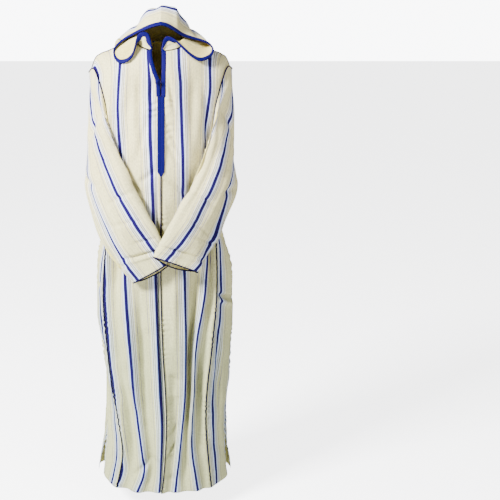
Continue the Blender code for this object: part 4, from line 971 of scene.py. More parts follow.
# ---------------------------------------------------------------- hood
def hood_cloth(table):
    """The hood from its front edge to the neck seam. Each row is a smooth curve through the edge,
    three places behind it and the seam, and its columns are spaced by arc near the edge."""
    steps = np.linspace(0, 1, HOOD_FINE)
    fine = hood_sections(steps)
    run = arc_of(fine)
    target = np.minimum(BRAID_WIDTH, run[:, -1:] / 2)
    low = np.maximum((run < target).sum(axis=1, keepdims=True) - 1, 0)
    before = np.take_along_axis(run, low, axis=1)
    after = np.take_along_axis(run, low + 1, axis=1)
    reach = (low + (target - before) / (after - before)) / (HOOD_FINE - 1)
    edge_part = np.linspace(0, 1, HOOD_EDGE_COLUMNS)[None] * reach
    beyond = np.linspace(0, 1, HOOD_COLUMNS + 1)[1:][None]
    places = np.concatenate([edge_part, reach + (1 - reach) * beyond], axis=1)
    points = along_rows(fine, places * (HOOD_FINE - 1))
    points = lift_off_body(points, HOOD_CLEAR * (1 - places**6) + 0.001)
    normals = unit(np.cross(np.gradient(points, axis=1), np.gradient(points, axis=0)))
    if normals[len(fine) // 2, HOOD_EDGE_COLUMNS + 4, 2] < 0:
        normals = -normals
    u = arc_of(points)
    along = run_along(points[:, 0])
    v = (along - along[len(fine) // 2])[:, None] * np.ones(places.shape)
    free = ease(u, BRAID_WIDTH, BRAID_WIDTH + 0.012) * ease(u[:, -1:] - u, 0.0, 0.03)
    raised = (slack(u, v, 0.0013, 2.3) + creases(u, v, table)) * free
    points = points + normals * raised[..., None]
    cloth_piece("hood_cloth", points, normals, u - HOOD_STRIPE, v, "hood")
    return points, normals


def edge_braid(name, faces, normals, node, lip=0.0):
    """A braid folded over an edge. Its section runs up the outer side, round the edge and down the
    inner side, crowned between its two borders, with ribs across it."""
    off = unit(faces[:, 0] - faces[:, -1])
    off = unit(off + np.roll(off, 1, axis=0) + np.roll(off, -1, axis=0)) if len(off) > 4 else off
    off[0], off[-1] = unit(faces[0, 0] - faces[0, -1]), unit(faces[-1, 0] - faces[-1, -1])
    columns = faces.shape[1]
    share = np.linspace(0, 1, columns)
    along = run_along(faces[:, 0])[:, None]
    crown = 0.55 + 0.45 * np.sin(math.pi * np.clip(share, 0.04, 0.96)) ** 0.5
    ribs = 0.10 * rib((share[None] - 0.5) * BRAID_WIDTH, along)
    ridge = 0.12 * np.cos(4 * math.pi * share)[None]
    high = BRAID_GAP + BRAID_THICK * (crown[None] + ribs - ridge) * 0.9
    high[:, -1] = BRAID_GAP * 0.2
    outer = faces + normals * high[..., None]
    low = CLOTH + high
    inner = faces - normals * low[..., None]
    inner = inner[:, :1] + (inner - inner[:, :1]) * BRAID_TUCK
    reach = BRAID_THICK + BRAID_GAP * 0.5 + lip
    mid = (outer[:, :1] + inner[:, :1]) / 2 + off[:, None] * reach
    quarter_a = (outer[:, :1] + mid) / 2 + off[:, None] * reach * 0.30 + normals[:, :1] * 0.0003
    quarter_b = (inner[:, :1] + mid) / 2 + off[:, None] * reach * 0.30 - normals[:, :1] * 0.0003
    stations = np.concatenate([outer[:, ::-1], quarter_a, mid, quarter_b, inner], axis=1)
    ribbon(name, stations, node)


def even_rows(grid, normals):
    """Both grids at a braid's even steps along their first column."""
    run = run_along(grid[:, 0])
    at = np.linspace(0, run[-1], int(run[-1] / BRAID_ROW))
    rows = np.interp(at, run, np.arange(len(grid)))
    return between(grid, rows), unit(between(normals, rows))


def rows_at(grid, levels, wanted):
    """The rows of a panel's grid at these levels, on straight lines between its own rows."""
    return between(grid, np.interp(wanted, levels[::-1, 0], np.arange(len(levels))[::-1]))


def strip_at(points, outward, levels, start, width):
    """The strip of a front panel along its centre edge, this wide, from a level up to the neck."""
    wanted = np.linspace(start, levels[-1, 0], EDGE_ROWS)
    grid, normals = rows_at(points, levels, wanted), rows_at(outward, levels, wanted)
    run = arc_of(grid)
    share = np.linspace(0, 1, HOOD_EDGE_COLUMNS) * width
    places = np.stack([np.interp(share, row, np.arange(len(row))) for row in run])
    return along_rows(grid, places), unit(along_rows(normals, places))


def placket(left, right):
    """The closed placket: two braids side by side with a groove between, ending in a point."""
    level = np.linspace(PLACKET_TIP, BRAID_LEVEL + 0.0002, EDGE_ROWS)
    centre = (rows_at(left[0], left[2], level)[:, 0] + rows_at(right[0], right[2], level)[:, 0]) / 2
    out = unit(rows_at(left[1], left[2], level)[:, 0] + rows_at(right[1], right[2], level)[:, 0])
    run = run_along(centre)
    at = np.linspace(0, run[-1], int(run[-1] / PLACKET_ROW))
    centre = np.stack([np.interp(at, run, centre[:, k]) for k in range(3)], axis=1)
    out = unit(np.stack([np.interp(at, run, out[:, k]) for k in range(3)], axis=1))
    level = np.interp(at, run, level)
    opened = np.clip((PLACKET_TIP - level) / (PLACKET_TIP - PLACKET_LEVEL), 0, 1)
    half = PLACKET_HALF * (0.10 + 0.90 * opened)
    share = np.linspace(-1, 1, PLACKET_COLUMNS)
    across = share[None] * half[:, None]
    crown = np.abs(np.sin(2 * math.pi * np.clip(np.abs(share), 0.03, 0.97) / 2)) ** 0.35
    ribs = 0.10 * rib(np.abs(across) - PLACKET_HALF / 2, at[:, None])
    high = 0.0006 + BRAID_THICK * (0.35 + 0.65 * crown[None] + ribs)
    edge = body_point(angle_of(PLACKET_HALF, level, LEFT), level, LEFT)
    bend = edge[:, 1] - body_point(0.0 * level, level, LEFT)[:, 1]
    base = centre[:, None] + across[..., None] * np.array((1.0, 0, 0))
    base[..., 1] += bend[:, None] * (across / PLACKET_HALF) ** 2
    top = base + out[:, None] * high[..., None]
    under = base[:, ::-1] + out[:, None] * 0.0002
    ribbon("placket_braid", np.concatenate([top, under[:, 1:-1]], axis=1), "braid_placket")


def knot_button(right):
    """A knotted button: a ball with three rounds of cord wound over it, and its loop."""
    row = int(np.argmin(np.abs(right[2][:, 0] - BUTTON_LEVEL)))
    foot, out = right[0][row, 2], right[1][row, 2]
    middle = foot + out * (2 * BRAID_GAP + BRAID_THICK + KNOT_RADIUS)
    up = np.linspace(0, math.pi, KNOT_ROWS)[:, None]
    around = np.arange(KNOT_SIDES)[None] * 2 * math.pi / KNOT_SIDES
    wound = np.cos(KNOT_ROUNDS * around + KNOT_WIND * np.cos(up)) * np.sin(up)
    crossed = np.cos(KNOT_ROUNDS * around - KNOT_WIND * np.cos(up)) * np.sin(up)
    size = KNOT_RADIUS * (1 + 0.10 * np.maximum(wound, crossed))
    ball = np.stack([size * np.sin(up) * np.cos(around), size * np.sin(up) * np.sin(around),
                     size * np.cos(up) * np.ones_like(around)], axis=2)
    points = ball[1:-1].reshape(-1, 3)
    rows = KNOT_ROWS - 2
    quads, marks = grid_faces(rows, KNOT_SIDES, wraps=True)
    v, u = np.meshgrid(np.arange(rows) * 0.0004, np.arange(KNOT_SIDES + 1) * 0.0005, indexing="ij")
    uv = np.stack([u.ravel(), v.ravel()], axis=1)[marks]
    obj = mesh_object("button_knotted", points + middle, quads, uv, (BRAID,), points)
    cap_ends(obj, rows, KNOT_SIDES)
    finish_piece(obj, ["button_knot"])
    turn = np.linspace(0, 2 * math.pi, 60, endpoint=False)
    shape = np.stack([1.35 * np.cos(turn) + 0.30, 0 * turn, np.sin(turn)], axis=1)
    ring = middle + (KNOT_RADIUS + 0.0013) * shape
    twisted_cord("button_cord_loop", ring, LOOP_RADIUS, BRAID, ["button_loop"], closed=True,
                 lay=LOOP_LAY)


# ---------------------------------------------------------------- shader groups
def new_group(name, inputs, outputs):
    """An empty shader group with these named sockets, and its input and output nodes."""
    group = bpy.data.node_groups.new(name, "ShaderNodeTree")
    for label, kind, value in inputs:
        socket = group.interface.new_socket(label, in_out="INPUT", socket_type=kind)
        if value is not None:
            socket.default_value = value
    for label, kind in outputs:
        group.interface.new_socket(label, in_out="OUTPUT", socket_type=kind)
    return group, group.nodes.new("NodeGroupInput"), group.nodes.new("NodeGroupOutput")


def link(tree, source, target):
    """A link, or a plain value where the source is a number."""
    if hasattr(source, "is_linked"):
        tree.links.new(source, target)
    else:
        target.default_value = source


def calc(tree, operation, first, second=None, third=None, clamp=False):
    """A Math node of these values or sockets."""
    node = tree.nodes.new("ShaderNodeMath")
    node.operation = operation
    node.use_clamp = clamp
    for slot, value in enumerate((first, second, third)):
        if value is not None:
            link(tree, value, node.inputs[slot])
    return node.outputs[0]


def mix_colour(tree, factor, first, second, blend="MIX"):
    """A Mix node for colours."""
    node = tree.nodes.new("ShaderNodeMix")
    node.data_type = "RGBA"
    node.blend_type = blend
    link(tree, factor, node.inputs[0])
    link(tree, first, node.inputs[6])
    link(tree, second, node.inputs[7])
    return node.outputs[2]


def noise(tree, vector, scale, detail=2.0):
    """A Noise node's value."""
    node = tree.nodes.new("ShaderNodeTexNoise")
    link(tree, vector, node.inputs["Vector"])
    node.inputs["Scale"].default_value = scale
    node.inputs["Detail"].default_value = detail
    return node.outputs["Fac"]


def thread_noise(tree, cloth, across, along, detail=2.0):
    """A noise on the flat cloth that is stretched: this fine across the cloth and along it."""
    node = tree.nodes.new("ShaderNodeMapping")
    link(tree, cloth, node.inputs["Vector"])
    node.inputs["Scale"].default_value = (across, along, 1.0)
    return noise(tree, node.outputs["Vector"], 1.0, detail)


def axis(tree, vector, letter):
    """One axis of a vector."""
    node = tree.nodes.new("ShaderNodeSeparateXYZ")
    link(tree, vector, node.inputs[0])
    return node.outputs[letter]


def ramp(tree, value, stops):
    """A colour ramp with these stops of place and linear colour."""
    node = tree.nodes.new("ShaderNodeValToRGB")
    link(tree, value, node.inputs["Fac"])
    band = node.color_ramp
    while len(band.elements) < len(stops):
        band.elements.new(0.5)
    for element, (place, colour) in zip(band.elements, stops):
        element.position = place
        element.color = (*colour, 1)
    return node.outputs["Color"]


# The stripes, from the middle of a blue one to half a repeat away. Columns: distance in mm, the
# cloth's colour there, and how much of it is satin.
CREAM = (0.800, 0.745, 0.390)
STRIPES = (
    (0.0, (0.016, 0.006, 0.095), 0.05),
    (2.2, (0.014, 0.005, 0.085), 0.05),
    (5.0, (0.008, 0.003, 0.055), 0.05),
    (5.3, (0.260, 0.350, 0.800), 0.80),
    (6.8, (0.420, 0.540, 0.960), 1.00),
    (8.0, (0.950, 0.970, 1.000), 1.00),
    (11.0, (0.950, 0.960, 1.000), 1.00),
    (11.5, (0.330, 0.340, 0.290), 0.50),
    (14.0, (0.360, 0.360, 0.290), 0.50),
    (14.5, (0.950, 0.950, 0.900), 0.90),
    (16.2, (0.950, 0.950, 0.900), 0.90),
    (16.7, (0.370, 0.370, 0.280), 0.40),
    (19.8, (0.500, 0.470, 0.320), 0.30),
    (20.2, (0.950, 0.940, 0.860), 0.80),
    (22.0, (0.950, 0.940, 0.860), 0.80),
    (22.5, CREAM, 0.0),
    (28.4, CREAM, 0.0),
    (28.9, (0.230, 0.200, 0.330), 0.2),
    (30.5, (0.230, 0.200, 0.330), 0.2),
    (31.0, CREAM, 0.0),
    (50.0, (0.805, 0.755, 0.410), 0.0),
)
HALF_REPEAT = 500 * REPEAT    # in mm
FINE_LINE = (0.595, 0.03)     # middle and half width of the broken fine line, as shares of that
DRIFT = 0.0009                # the stripes wander by this many metres to either side


def stripe_group():
    """The stripes across the cloth: distance from the nearest blue stripe, folded so that both sides
    of it are alike, picks colour and satin from the chart. A slow noise along the threads shifts and
    breaks the fine lines."""
    group, start, end = new_group(
        "woven stripes",
        [("Cloth", "NodeSocketVector", None), ("Contrast", "NodeSocketFloat", 1.0)],
        [("Color", "NodeSocketColor"), ("Satin", "NodeSocketFloat")])
    cloth = start.outputs["Cloth"]
    drift = calc(group, "MULTIPLY_ADD", thread_noise(group, cloth, 14.0, 5.0), 2 * DRIFT, -DRIFT)
    across = calc(group, "ADD", axis(group, cloth, "X"), drift)
    turns = calc(group, "MULTIPLY_ADD", across, 1 / REPEAT, 0.5)
    folded = calc(group, "ABSOLUTE", calc(group, "SUBTRACT", calc(group, "FRACT", turns), 0.5))
    place = calc(group, "MULTIPLY", folded, 2.0)
    colours = ramp(group, place, [(mm / HALF_REPEAT, colour) for mm, colour, _ in STRIPES])
    satin = ramp(group, place, [(mm / HALF_REPEAT, (shine,) * 3) for mm, _, shine in STRIPES])
    slubs = thread_noise(group, cloth, 900.0, 22.0, 3.0)
    breaks = ramp(group, slubs, [(0.40, (0, 0, 0)), (0.62, (1, 1, 1))])
    lines = calc(group, "COMPARE", place, *FINE_LINE)
    broken = calc(group, "MULTIPLY", calc(group, "MULTIPLY", lines, breaks), 0.75)
    colour = mix_colour(group, broken, colours, (*CREAM, 1))
    plain = mix_colour(group, start.outputs["Contrast"], (*CREAM, 1), colour)
    link(group, plain, end.inputs["Color"])
    link(group, satin, end.inputs["Satin"])
    return group


def crepe_group():
    """Crepe: warp and weft threads as two fine stretched noises whose sum is the height, with a
    broader slub tone."""
    group, start, end = new_group(
        "crepe weave",
        [("Cloth", "NodeSocketVector", None), ("Threads", "NodeSocketFloat", 1.0)],
        [("Height", "NodeSocketFloat"), ("Tone", "NodeSocketFloat")])
    cloth = start.outputs["Cloth"]
    warp = thread_noise(group, cloth, 2600.0, 260.0, 1.0)
    weft = thread_noise(group, cloth, 240.0, 2300.0, 1.0)
    crinkle = thread_noise(group, cloth, 230.0, 150.0)
    height = calc(group, "ADD", calc(group, "ADD", warp, weft), calc(group, "MULTIPLY", crinkle, 1.3))
    link(group, calc(group, "MULTIPLY", height, start.outputs["Threads"]), end.inputs["Height"])
    slub = thread_noise(group, cloth, 700.0, 18.0, 3.0)
    tone = calc(group, "ADD", calc(group, "MULTIPLY", slub, 0.40), calc(group, "MULTIPLY", warp, 0.15))
    tone = calc(group, "MULTIPLY_ADD", crinkle, 0.45, tone)
    link(group, tone, end.inputs["Tone"])
    return group


CHEST_HEIGHT, SKIRT_HEIGHT = -0.30, -0.95    # painted shade: the cloth's colour turns cooler and darker between these heights, for the dimmer light on the skirt


def wear_and_shade_group():
    """Soft unevenness of tone from wear and use: a broad noise on the robe's own place. Then painted
    shade: a slow change from the warm chest to a cooler, darker skirt, for the dimmer light lower down."""
    group, start, end = new_group(
        "wear_and_painted_shade",
        [("Place", "NodeSocketVector", None), ("Color", "NodeSocketColor", (0.8, 0.8, 0.8, 1)),
         ("Amount", "NodeSocketFloat", 0.06)],
        [("Color", "NodeSocketColor")])
    broad = noise(group, start.outputs["Place"], 7.0, 3.0)
    worn = calc(group, "SUBTRACT", 0.62, broad)
    wear_amount = calc(group, "MULTIPLY", worn, start.outputs["Amount"], clamp=True)
    dull = mix_colour(group, wear_amount, start.outputs["Color"], (0.45, 0.42, 0.34, 1), "MULTIPLY")
    drop = group.nodes.new("ShaderNodeMapRange")
    link(group, axis(group, start.outputs["Place"], "Z"), drop.inputs["Value"])
    drop.inputs["From Min"].default_value = CHEST_HEIGHT
    drop.inputs["From Max"].default_value = SKIRT_HEIGHT
    drop.inputs["To Max"].default_value = 1.0
    # painted shade: below the chest the colour is multiplied darker and cooler, for the dimmer light on
    # the skirt
    painted_skirt_shade = mix_colour(group, drop.outputs["Result"], (1.0, 0.965, 0.960, 1), (0.585, 0.640, 0.640, 1))
    link(group, mix_colour(group, 1.0, dull, painted_skirt_shade, "MULTIPLY"), end.inputs["Color"])
    return group


def braid_group():
    """Flat braid: slanting ribs from a wave along the band, with a fine thread noise. The tone adds
    painted shade to the noise: the wave darkens the ribs' grooves and lightens their crowns.
    """
    group, start, end = new_group(
        "braid threads",
        [("Cloth", "NodeSocketVector", None), ("Pitch", "NodeSocketFloat", 0.0024)],
        [("Height", "NodeSocketFloat"), ("Tone", "NodeSocketFloat")])
    cloth = start.outputs["Cloth"]
    slant = calc(group, "MULTIPLY_ADD", axis(group, cloth, "X"), 0.8, axis(group, cloth, "Y"))
    turns = calc(group, "DIVIDE", slant, start.outputs["Pitch"])
    wave = calc(group, "SINE", calc(group, "MULTIPLY", turns, 2 * math.pi))
    thread = thread_noise(group, cloth, 1500.0, 1100.0)
    height = calc(group, "MULTIPLY_ADD", wave, 0.35, thread)
    link(group, height, end.inputs["Height"])
    # painted shade of the ribs: the wave darkens the grooves and lightens the crowns in the tone
    tone = calc(group, "MULTIPLY_ADD", wave, 0.18, calc(group, "MULTIPLY", thread, 0.9))
    link(group, tone, end.inputs["Tone"])
    return group


# ---------------------------------------------------------------- materials
def new_material(name, roughness, sheen):
    """A material with its Principled shader, the cloth map and the robe's own place."""
    material = bpy.data.materials.new(name)
    material.use_nodes = True
    tree = material.node_tree
    shader = tree.nodes["Principled BSDF"]
    shader.inputs["Roughness"].default_value = roughness
    shader.inputs["Sheen Weight"].default_value = sheen
    shader.inputs["Sheen Roughness"].default_value = 0.45
    shader.inputs["Specular IOR Level"].default_value = 0.04
    cloth = tree.nodes.new("ShaderNodeUVMap")
    cloth.uv_map = "cloth"
    place = tree.nodes.new("ShaderNodeTexCoord")
    return material, tree, shader, cloth.outputs["UV"], place.outputs["Object"]


def add_group(tree, group, **sockets):
    """A node of the group with these sockets linked or set."""
    node = tree.nodes.new("ShaderNodeGroup")
    node.node_tree = group
    for label, value in sockets.items():
        link(tree, value, node.inputs[label])
    return node


def bump(tree, shader, height, strength, distance):
    """A Bump node from the height into the shader's normal."""
    node = tree.nodes.new("ShaderNodeBump")
    node.inputs["Strength"].default_value = strength
    node.inputs["Distance"].default_value = distance
    link(tree, height, node.inputs["Height"])
    link(tree, node.outputs["Normal"], shader.inputs["Normal"])


def crepe_cloth(name, contrast, warmth):
    """Striped crepe: the satin stripes are smoother, and the slubs vary colour and shine."""
    material, tree, shader, cloth, place = new_material(name, 0.75, 0.02)
    stripes = add_group(tree, WOVEN_STRIPES, Cloth=cloth, Contrast=contrast)
    weave = add_group(tree, CREPE_WEAVE, Cloth=cloth, Threads=1.0)
    tone = ramp(tree, weave.outputs["Tone"], [(0.36, (0.66, 0.66, 0.66)), (0.62, (1.0, 1.0, 1.0))])
    woven = mix_colour(tree, 1.0, stripes.outputs["Color"], tone, "MULTIPLY")
    # the group adds a random wear tone and painted shade that darkens the skirt
    worn_and_shaded = add_group(tree, WEAR_AND_SHADE, Place=place, Color=woven, Amount=0.5)
    warm = mix_colour(tree, 1.0, worn_and_shaded.outputs["Color"], (*warmth, 1), "MULTIPLY")
    link(tree, warm, shader.inputs["Base Color"])
    matt = calc(tree, "MULTIPLY_ADD", weave.outputs["Tone"], 0.12, 0.72)
    shine = calc(tree, "MULTIPLY", stripes.outputs["Satin"], 0.30)
    link(tree, calc(tree, "SUBTRACT", matt, shine), shader.inputs["Roughness"])
    bump(tree, shader, weave.outputs["Height"], 0.60, 0.0009)
    return material


def braid_cloth(name, dark, light, roughness):
    """Silky braid: a random thread tone, with painted shade that makes the ribs' crowns lighter than the
    grooves.
    """
    material, tree, shader, cloth, place = new_material(name, roughness, 0.01)
    ribs = add_group(tree, BRAID_THREADS, Cloth=cloth, Pitch=RIB_PITCH)
    # dark and light span the thread tone and the painted rib shade, with the grooves darkest
    colour = ramp(tree, ribs.outputs["Tone"], [(0.28, dark), (0.66, light)])
    # the group adds a random wear tone and painted shade that darkens the lower braid
    worn_and_shaded = add_group(tree, WEAR_AND_SHADE, Place=place, Color=colour, Amount=0.12)
    link(tree, worn_and_shaded.outputs["Color"], shader.inputs["Base Color"])
    bump(tree, shader, ribs.outputs["Height"], 0.35, 0.0004)
    return material


WOVEN_STRIPES = stripe_group()
CREPE_WEAVE = crepe_group()
# random wear tone, and painted shade darkening the skirt
WEAR_AND_SHADE = wear_and_shade_group()
BRAID_THREADS = braid_group()
CREPE = crepe_cloth("striped crepe", 1.0, (1.0, 1.0, 1.0))
CREPE_WRONG_SIDE = crepe_cloth("striped crepe wrong side", 0.45, (0.96, 0.91, 0.62))
BRAID = braid_cloth("cobalt braid", (0.002, 0.001, 0.018), (0.007, 0.003, 0.125), 0.60)
PIPING = braid_cloth("navy piping", (0.002, 0.001, 0.014), (0.005, 0.002, 0.050), 0.55)

# ---------------------------------------------------------------- the creases
# Columns: u, v of the start, u, v of the end, width, depth. u runs across the flat piece from its
# first edge and v up from the hem, or down from the armhole on a sleeve.
LEFT_FRONT_CREASES = (
    (0.088, 0.330, 0.078, 0.800, 0.013, 0.0050),
    (0.128, 0.250, 0.140, 0.760, 0.012, 0.0055),
    (0.150, 0.120, 0.158, 0.520, 0.010, -0.0035),
    (0.030, 0.520, 0.036, 0.850, 0.010, -0.0030),
    (0.012, 0.420, 0.050, 0.395, 0.008, 0.0026),
    (0.030, 1.060, 0.110, 1.000, 0.010, 0.0030),
    (0.110, 0.980, 0.170, 1.060, 0.010, 0.0028),
    (0.004, 0.125, 0.040, 0.175, 0.007, 0.0050),
    (0.004, 0.150, 0.034, 0.140, 0.006, -0.0030),
    (0.003, 0.205, 0.045, 0.240, 0.008, 0.0035),
    (0.010, 0.060, 0.060, 0.050, 0.010, 0.0030),
    (0.020, 0.300, 0.030, 0.420, 0.012, 0.0030),
    (0.110, 0.120, 0.125, 0.420, 0.014, -0.0040),
    (0.180, 0.200, 0.200, 0.520, 0.013, 0.0040),
    (0.215, 0.350, 0.190, 0.620, 0.011, -0.0030),
    (0.020, 1.210, 0.060, 1.150, 0.009, 0.0022),
    (0.016, 1.170, 0.050, 1.120, 0.008, 0.0022),
    (0.100, 1.180, 0.108, 1.340, 0.016, 0.0030),
    (0.180, 1.150, 0.150, 1.320, 0.014, 0.0035),
    (0.025, 1.330, 0.040, 1.260, 0.008, 0.0030),
)
RIGHT_FRONT_CREASES = (
    (0.030, 0.150, 0.022, 0.760, 0.011, 0.0050),
    (0.095, 0.240, 0.088, 0.700, 0.013, 0.0045),
    (0.130, 0.300, 0.138, 0.820, 0.011, -0.0035),
    (0.050, 1.020, 0.120, 1.070, 0.010, 0.0030),
    (0.020, 1.100, 0.070, 1.060, 0.009, 0.0028),
    (0.010, 0.090, 0.100, 0.130, 0.012, 0.0030),
    (0.060, 0.200, 0.070, 0.560, 0.013, 0.0035),
    (0.100, 0.120, 0.170, 0.060, 0.012, 0.0060),
    (0.150, 0.200, 0.165, 0.600, 0.014, 0.0040),
    (0.210, 0.150, 0.200, 0.450, 0.012, -0.0030),
    (0.035, 1.240, 0.075, 1.130, 0.010, 0.0026),
    (0.060, 1.180, 0.066, 1.350, 0.012, 0.0035),
    (0.120, 1.120, 0.090, 1.330, 0.016, 0.0030),
    (0.170, 1.150, 0.165, 1.330, 0.014, -0.0030),
    (0.020, 1.340, 0.030, 1.280, 0.007, 0.0025),
)
LEFT_GORE_CREASES = (
    (0.010, 0.690, 0.110, 0.655, 0.008, 0.0060),
    (0.012, 0.672, 0.100, 0.640, 0.007, -0.0040),
    (0.030, 0.560, 0.050, 0.300, 0.012, 0.0050),
    (0.080, 0.120, 0.070, 0.420, 0.013, -0.0040),
    (0.020, 0.930, 0.080, 0.860, 0.009, 0.0030),
)
RIGHT_GORE_CREASES = (
    (0.015, 0.330, 0.060, 0.520, 0.011, 0.0050),
    (0.070, 0.100, 0.085, 0.380, 0.013, -0.0040),
    (0.020, 0.720, 0.090, 0.700, 0.009, 0.0030),
)
BACK_GORE_CREASES = (
    (0.030, 0.100, 0.050, 0.480, 0.013, 0.0050),
    (0.090, 0.080, 0.080, 0.330, 0.012, -0.0040),
    (0.020, 0.760, 0.100, 0.735, 0.008, 0.0040),
    (0.060, 0.600, 0.070, 0.850, 0.012, 0.0030),
)
BACK_CREASES = (
    (-0.190, 0.640, -0.080, 0.600, 0.010, 0.0050),
    (0.070, 0.760, 0.200, 0.720, 0.011, 0.0050),
    (-0.090, 0.900, -0.120, 0.450, 0.016, 0.0050),
    (0.030, 0.980, 0.040, 0.550, 0.018, -0.0045),
    (0.150, 0.850, 0.135, 0.300, 0.016, 0.0050),
    (-0.020, 1.380, -0.050, 1.120, 0.014, 0.0040),
    (0.060, 1.390, 0.090, 1.150, 0.013, 0.0040),
    (-0.130, 1.320, -0.170, 1.200, 0.012, 0.0035),
    (-0.160, 0.300, -0.150, 0.080, 0.013, -0.0040),
)
LEFT_SLEEVE_CREASES = (
    (-0.010, 0.300, 0.120, 0.340, 0.0050, 0.0022),
    (0.020, 0.390, 0.150, 0.410, 0.0045, 0.0018),
    (0.080, 0.440, 0.200, 0.420, 0.0050, 0.0022),
    (0.150, 0.500, 0.260, 0.470, 0.0080, 0.0040),
    (0.000, 0.505, 0.150, 0.490, 0.0042, 0.0042),
    (0.005, 0.520, 0.145, 0.508, 0.0050, -0.0022),
    (0.090, 0.600, 0.150, 0.560, 0.0070, 0.0050),
    (0.060, 0.630, 0.140, 0.600, 0.0070, -0.0040),
    (0.100, 0.640, 0.160, 0.600, 0.0060, 0.0035),
    (0.040, 0.120, 0.030, 0.420, 0.012, 0.0030),
    (0.120, 0.160, 0.110, 0.440, 0.014, -0.0035),
    (0.170, 0.240, 0.160, 0.480, 0.012, 0.0040),
    (-0.060, 0.200, -0.070, 0.440, 0.012, 0.0040),
    (-0.100, 0.350, -0.020, 0.330, 0.010, 0.0035),
    (0.130, 0.300, 0.230, 0.280, 0.009, 0.0035),
    (0.060, 0.080, 0.160, 0.160, 0.012, 0.0035),
)
RIGHT_SLEEVE_CREASES = (
    (0.000, 0.310, 0.130, 0.340, 0.0050, 0.0022),
    (0.030, 0.395, 0.150, 0.380, 0.0045, 0.0018),
    (0.150, 0.500, 0.250, 0.480, 0.0080, 0.0040),
    (0.000, 0.520, 0.150, 0.475, 0.0042, 0.0042),
    (0.020, 0.470, 0.090, 0.450, 0.0040, 0.0030),
    (0.005, 0.533, 0.150, 0.490, 0.0050, -0.0022),
    (0.050, 0.130, 0.035, 0.440, 0.012, 0.0030),
    (0.110, 0.160, 0.110, 0.470, 0.014, -0.0035),
    (0.180, 0.260, 0.165, 0.480, 0.012, 0.0040),
    (-0.070, 0.200, -0.070, 0.440, 0.012, 0.0040),
    (-0.090, 0.300, -0.010, 0.290, 0.010, 0.0035),
    (0.140, 0.290, 0.230, 0.260, 0.009, 0.0035),
    (0.050, 0.080, 0.150, 0.170, 0.012, 0.0035),
)
HOOD_CREASES = (
    (0.020, -0.120, 0.150, -0.070, 0.012, 0.0035),
    (0.030, 0.140, 0.160, 0.080, 0.012, 0.0040),
    (0.040, 0.190, 0.130, 0.150, 0.010, 0.0035),
    (0.060, -0.030, 0.200, 0.020, 0.016, 0.0035),
    (0.020, 0.060, 0.120, 0.040, 0.011, -0.0025),
    (0.160, -0.140, 0.260, -0.080, 0.015, 0.0040),
    (0.170, 0.130, 0.270, 0.070, 0.015, 0.0040),
    (0.040, -0.330, 0.080, -0.280, 0.008, 0.0025),
    (0.040, 0.360, 0.080, 0.310, 0.008, 0.0025),
)
BACK_HALF_CUT = 0.240     # half the flat width of the back panel
GORE_STRIPE = 0.030       # a gore's first blue stripe, from its seam

# ---------------------------------------------------------------- the robe
left_front = front_panel(LEFT_THREADS, LEFT, "left", LEFT_FRONT_CREASES, 1.0)
right_front = front_panel(RIGHT_THREADS, RIGHT, "right", RIGHT_FRONT_CREASES, 2.6)
gore(LEFT_THREADS, LEFT, False, "left", LEFT_GORE_CREASES, 3.1)
gore(RIGHT_THREADS, RIGHT, False, "right", RIGHT_GORE_CREASES, 4.4)
gore(LEFT_THREADS, LEFT, True, "left", BACK_GORE_CREASES, 5.2)
gore(RIGHT_THREADS, RIGHT, True, "right", BACK_GORE_CREASES, 6.7)
back_panel(BACK_CREASES)
left_sleeve = sleeve(LEFT_SLEEVE, LEFT, "left", STRIPE_LEFT, LEFT_SLEEVE_CREASES, 1.9)
right_sleeve = sleeve(RIGHT_SLEEVE, RIGHT, "right", STRIPE_RIGHT, RIGHT_SLEEVE_CREASES, 3.7)
hood_points, hood_normals = hood_cloth(HOOD_CREASES)

ends = []
for word, panel in (("right", right_front), ("left", left_front)):
    strip, strip_out = strip_at(*panel, BRAID_LEVEL - 0.0002, BRAID_WIDTH)
    strip, strip_out = even_rows(strip[:-2], strip_out[:-2])
    edge_braid(f"slit_braid_{word}", strip, strip_out, f"braid_slit_{word}")
    ends.append((strip[-1:], strip_out[-1:]))
edge, edge_out = hood_points[:, :HOOD_EDGE_COLUMNS], hood_normals[:, :HOOD_EDGE_COLUMNS]
edge, edge_out = even_rows(np.concatenate([ends[0][0], edge, ends[1][0]]),
                           np.concatenate([ends[0][1], edge_out, ends[1][1]]))
edge_braid("hood_edge_braid", edge[1:-1], edge_out[1:-1], "braid_hood", lip=0.0010)
placket(left_front, right_front)
knot_button(right_front)


def seam_line(panel, column, low, high, lift):
    """The line of a seam on a panel between two levels, this far off the cloth."""
    points, outward, levels = panel
    use = (levels[:, column] <= low) & (levels[:, column] >= high)
    return points[use, column] + outward[use, column] * lift


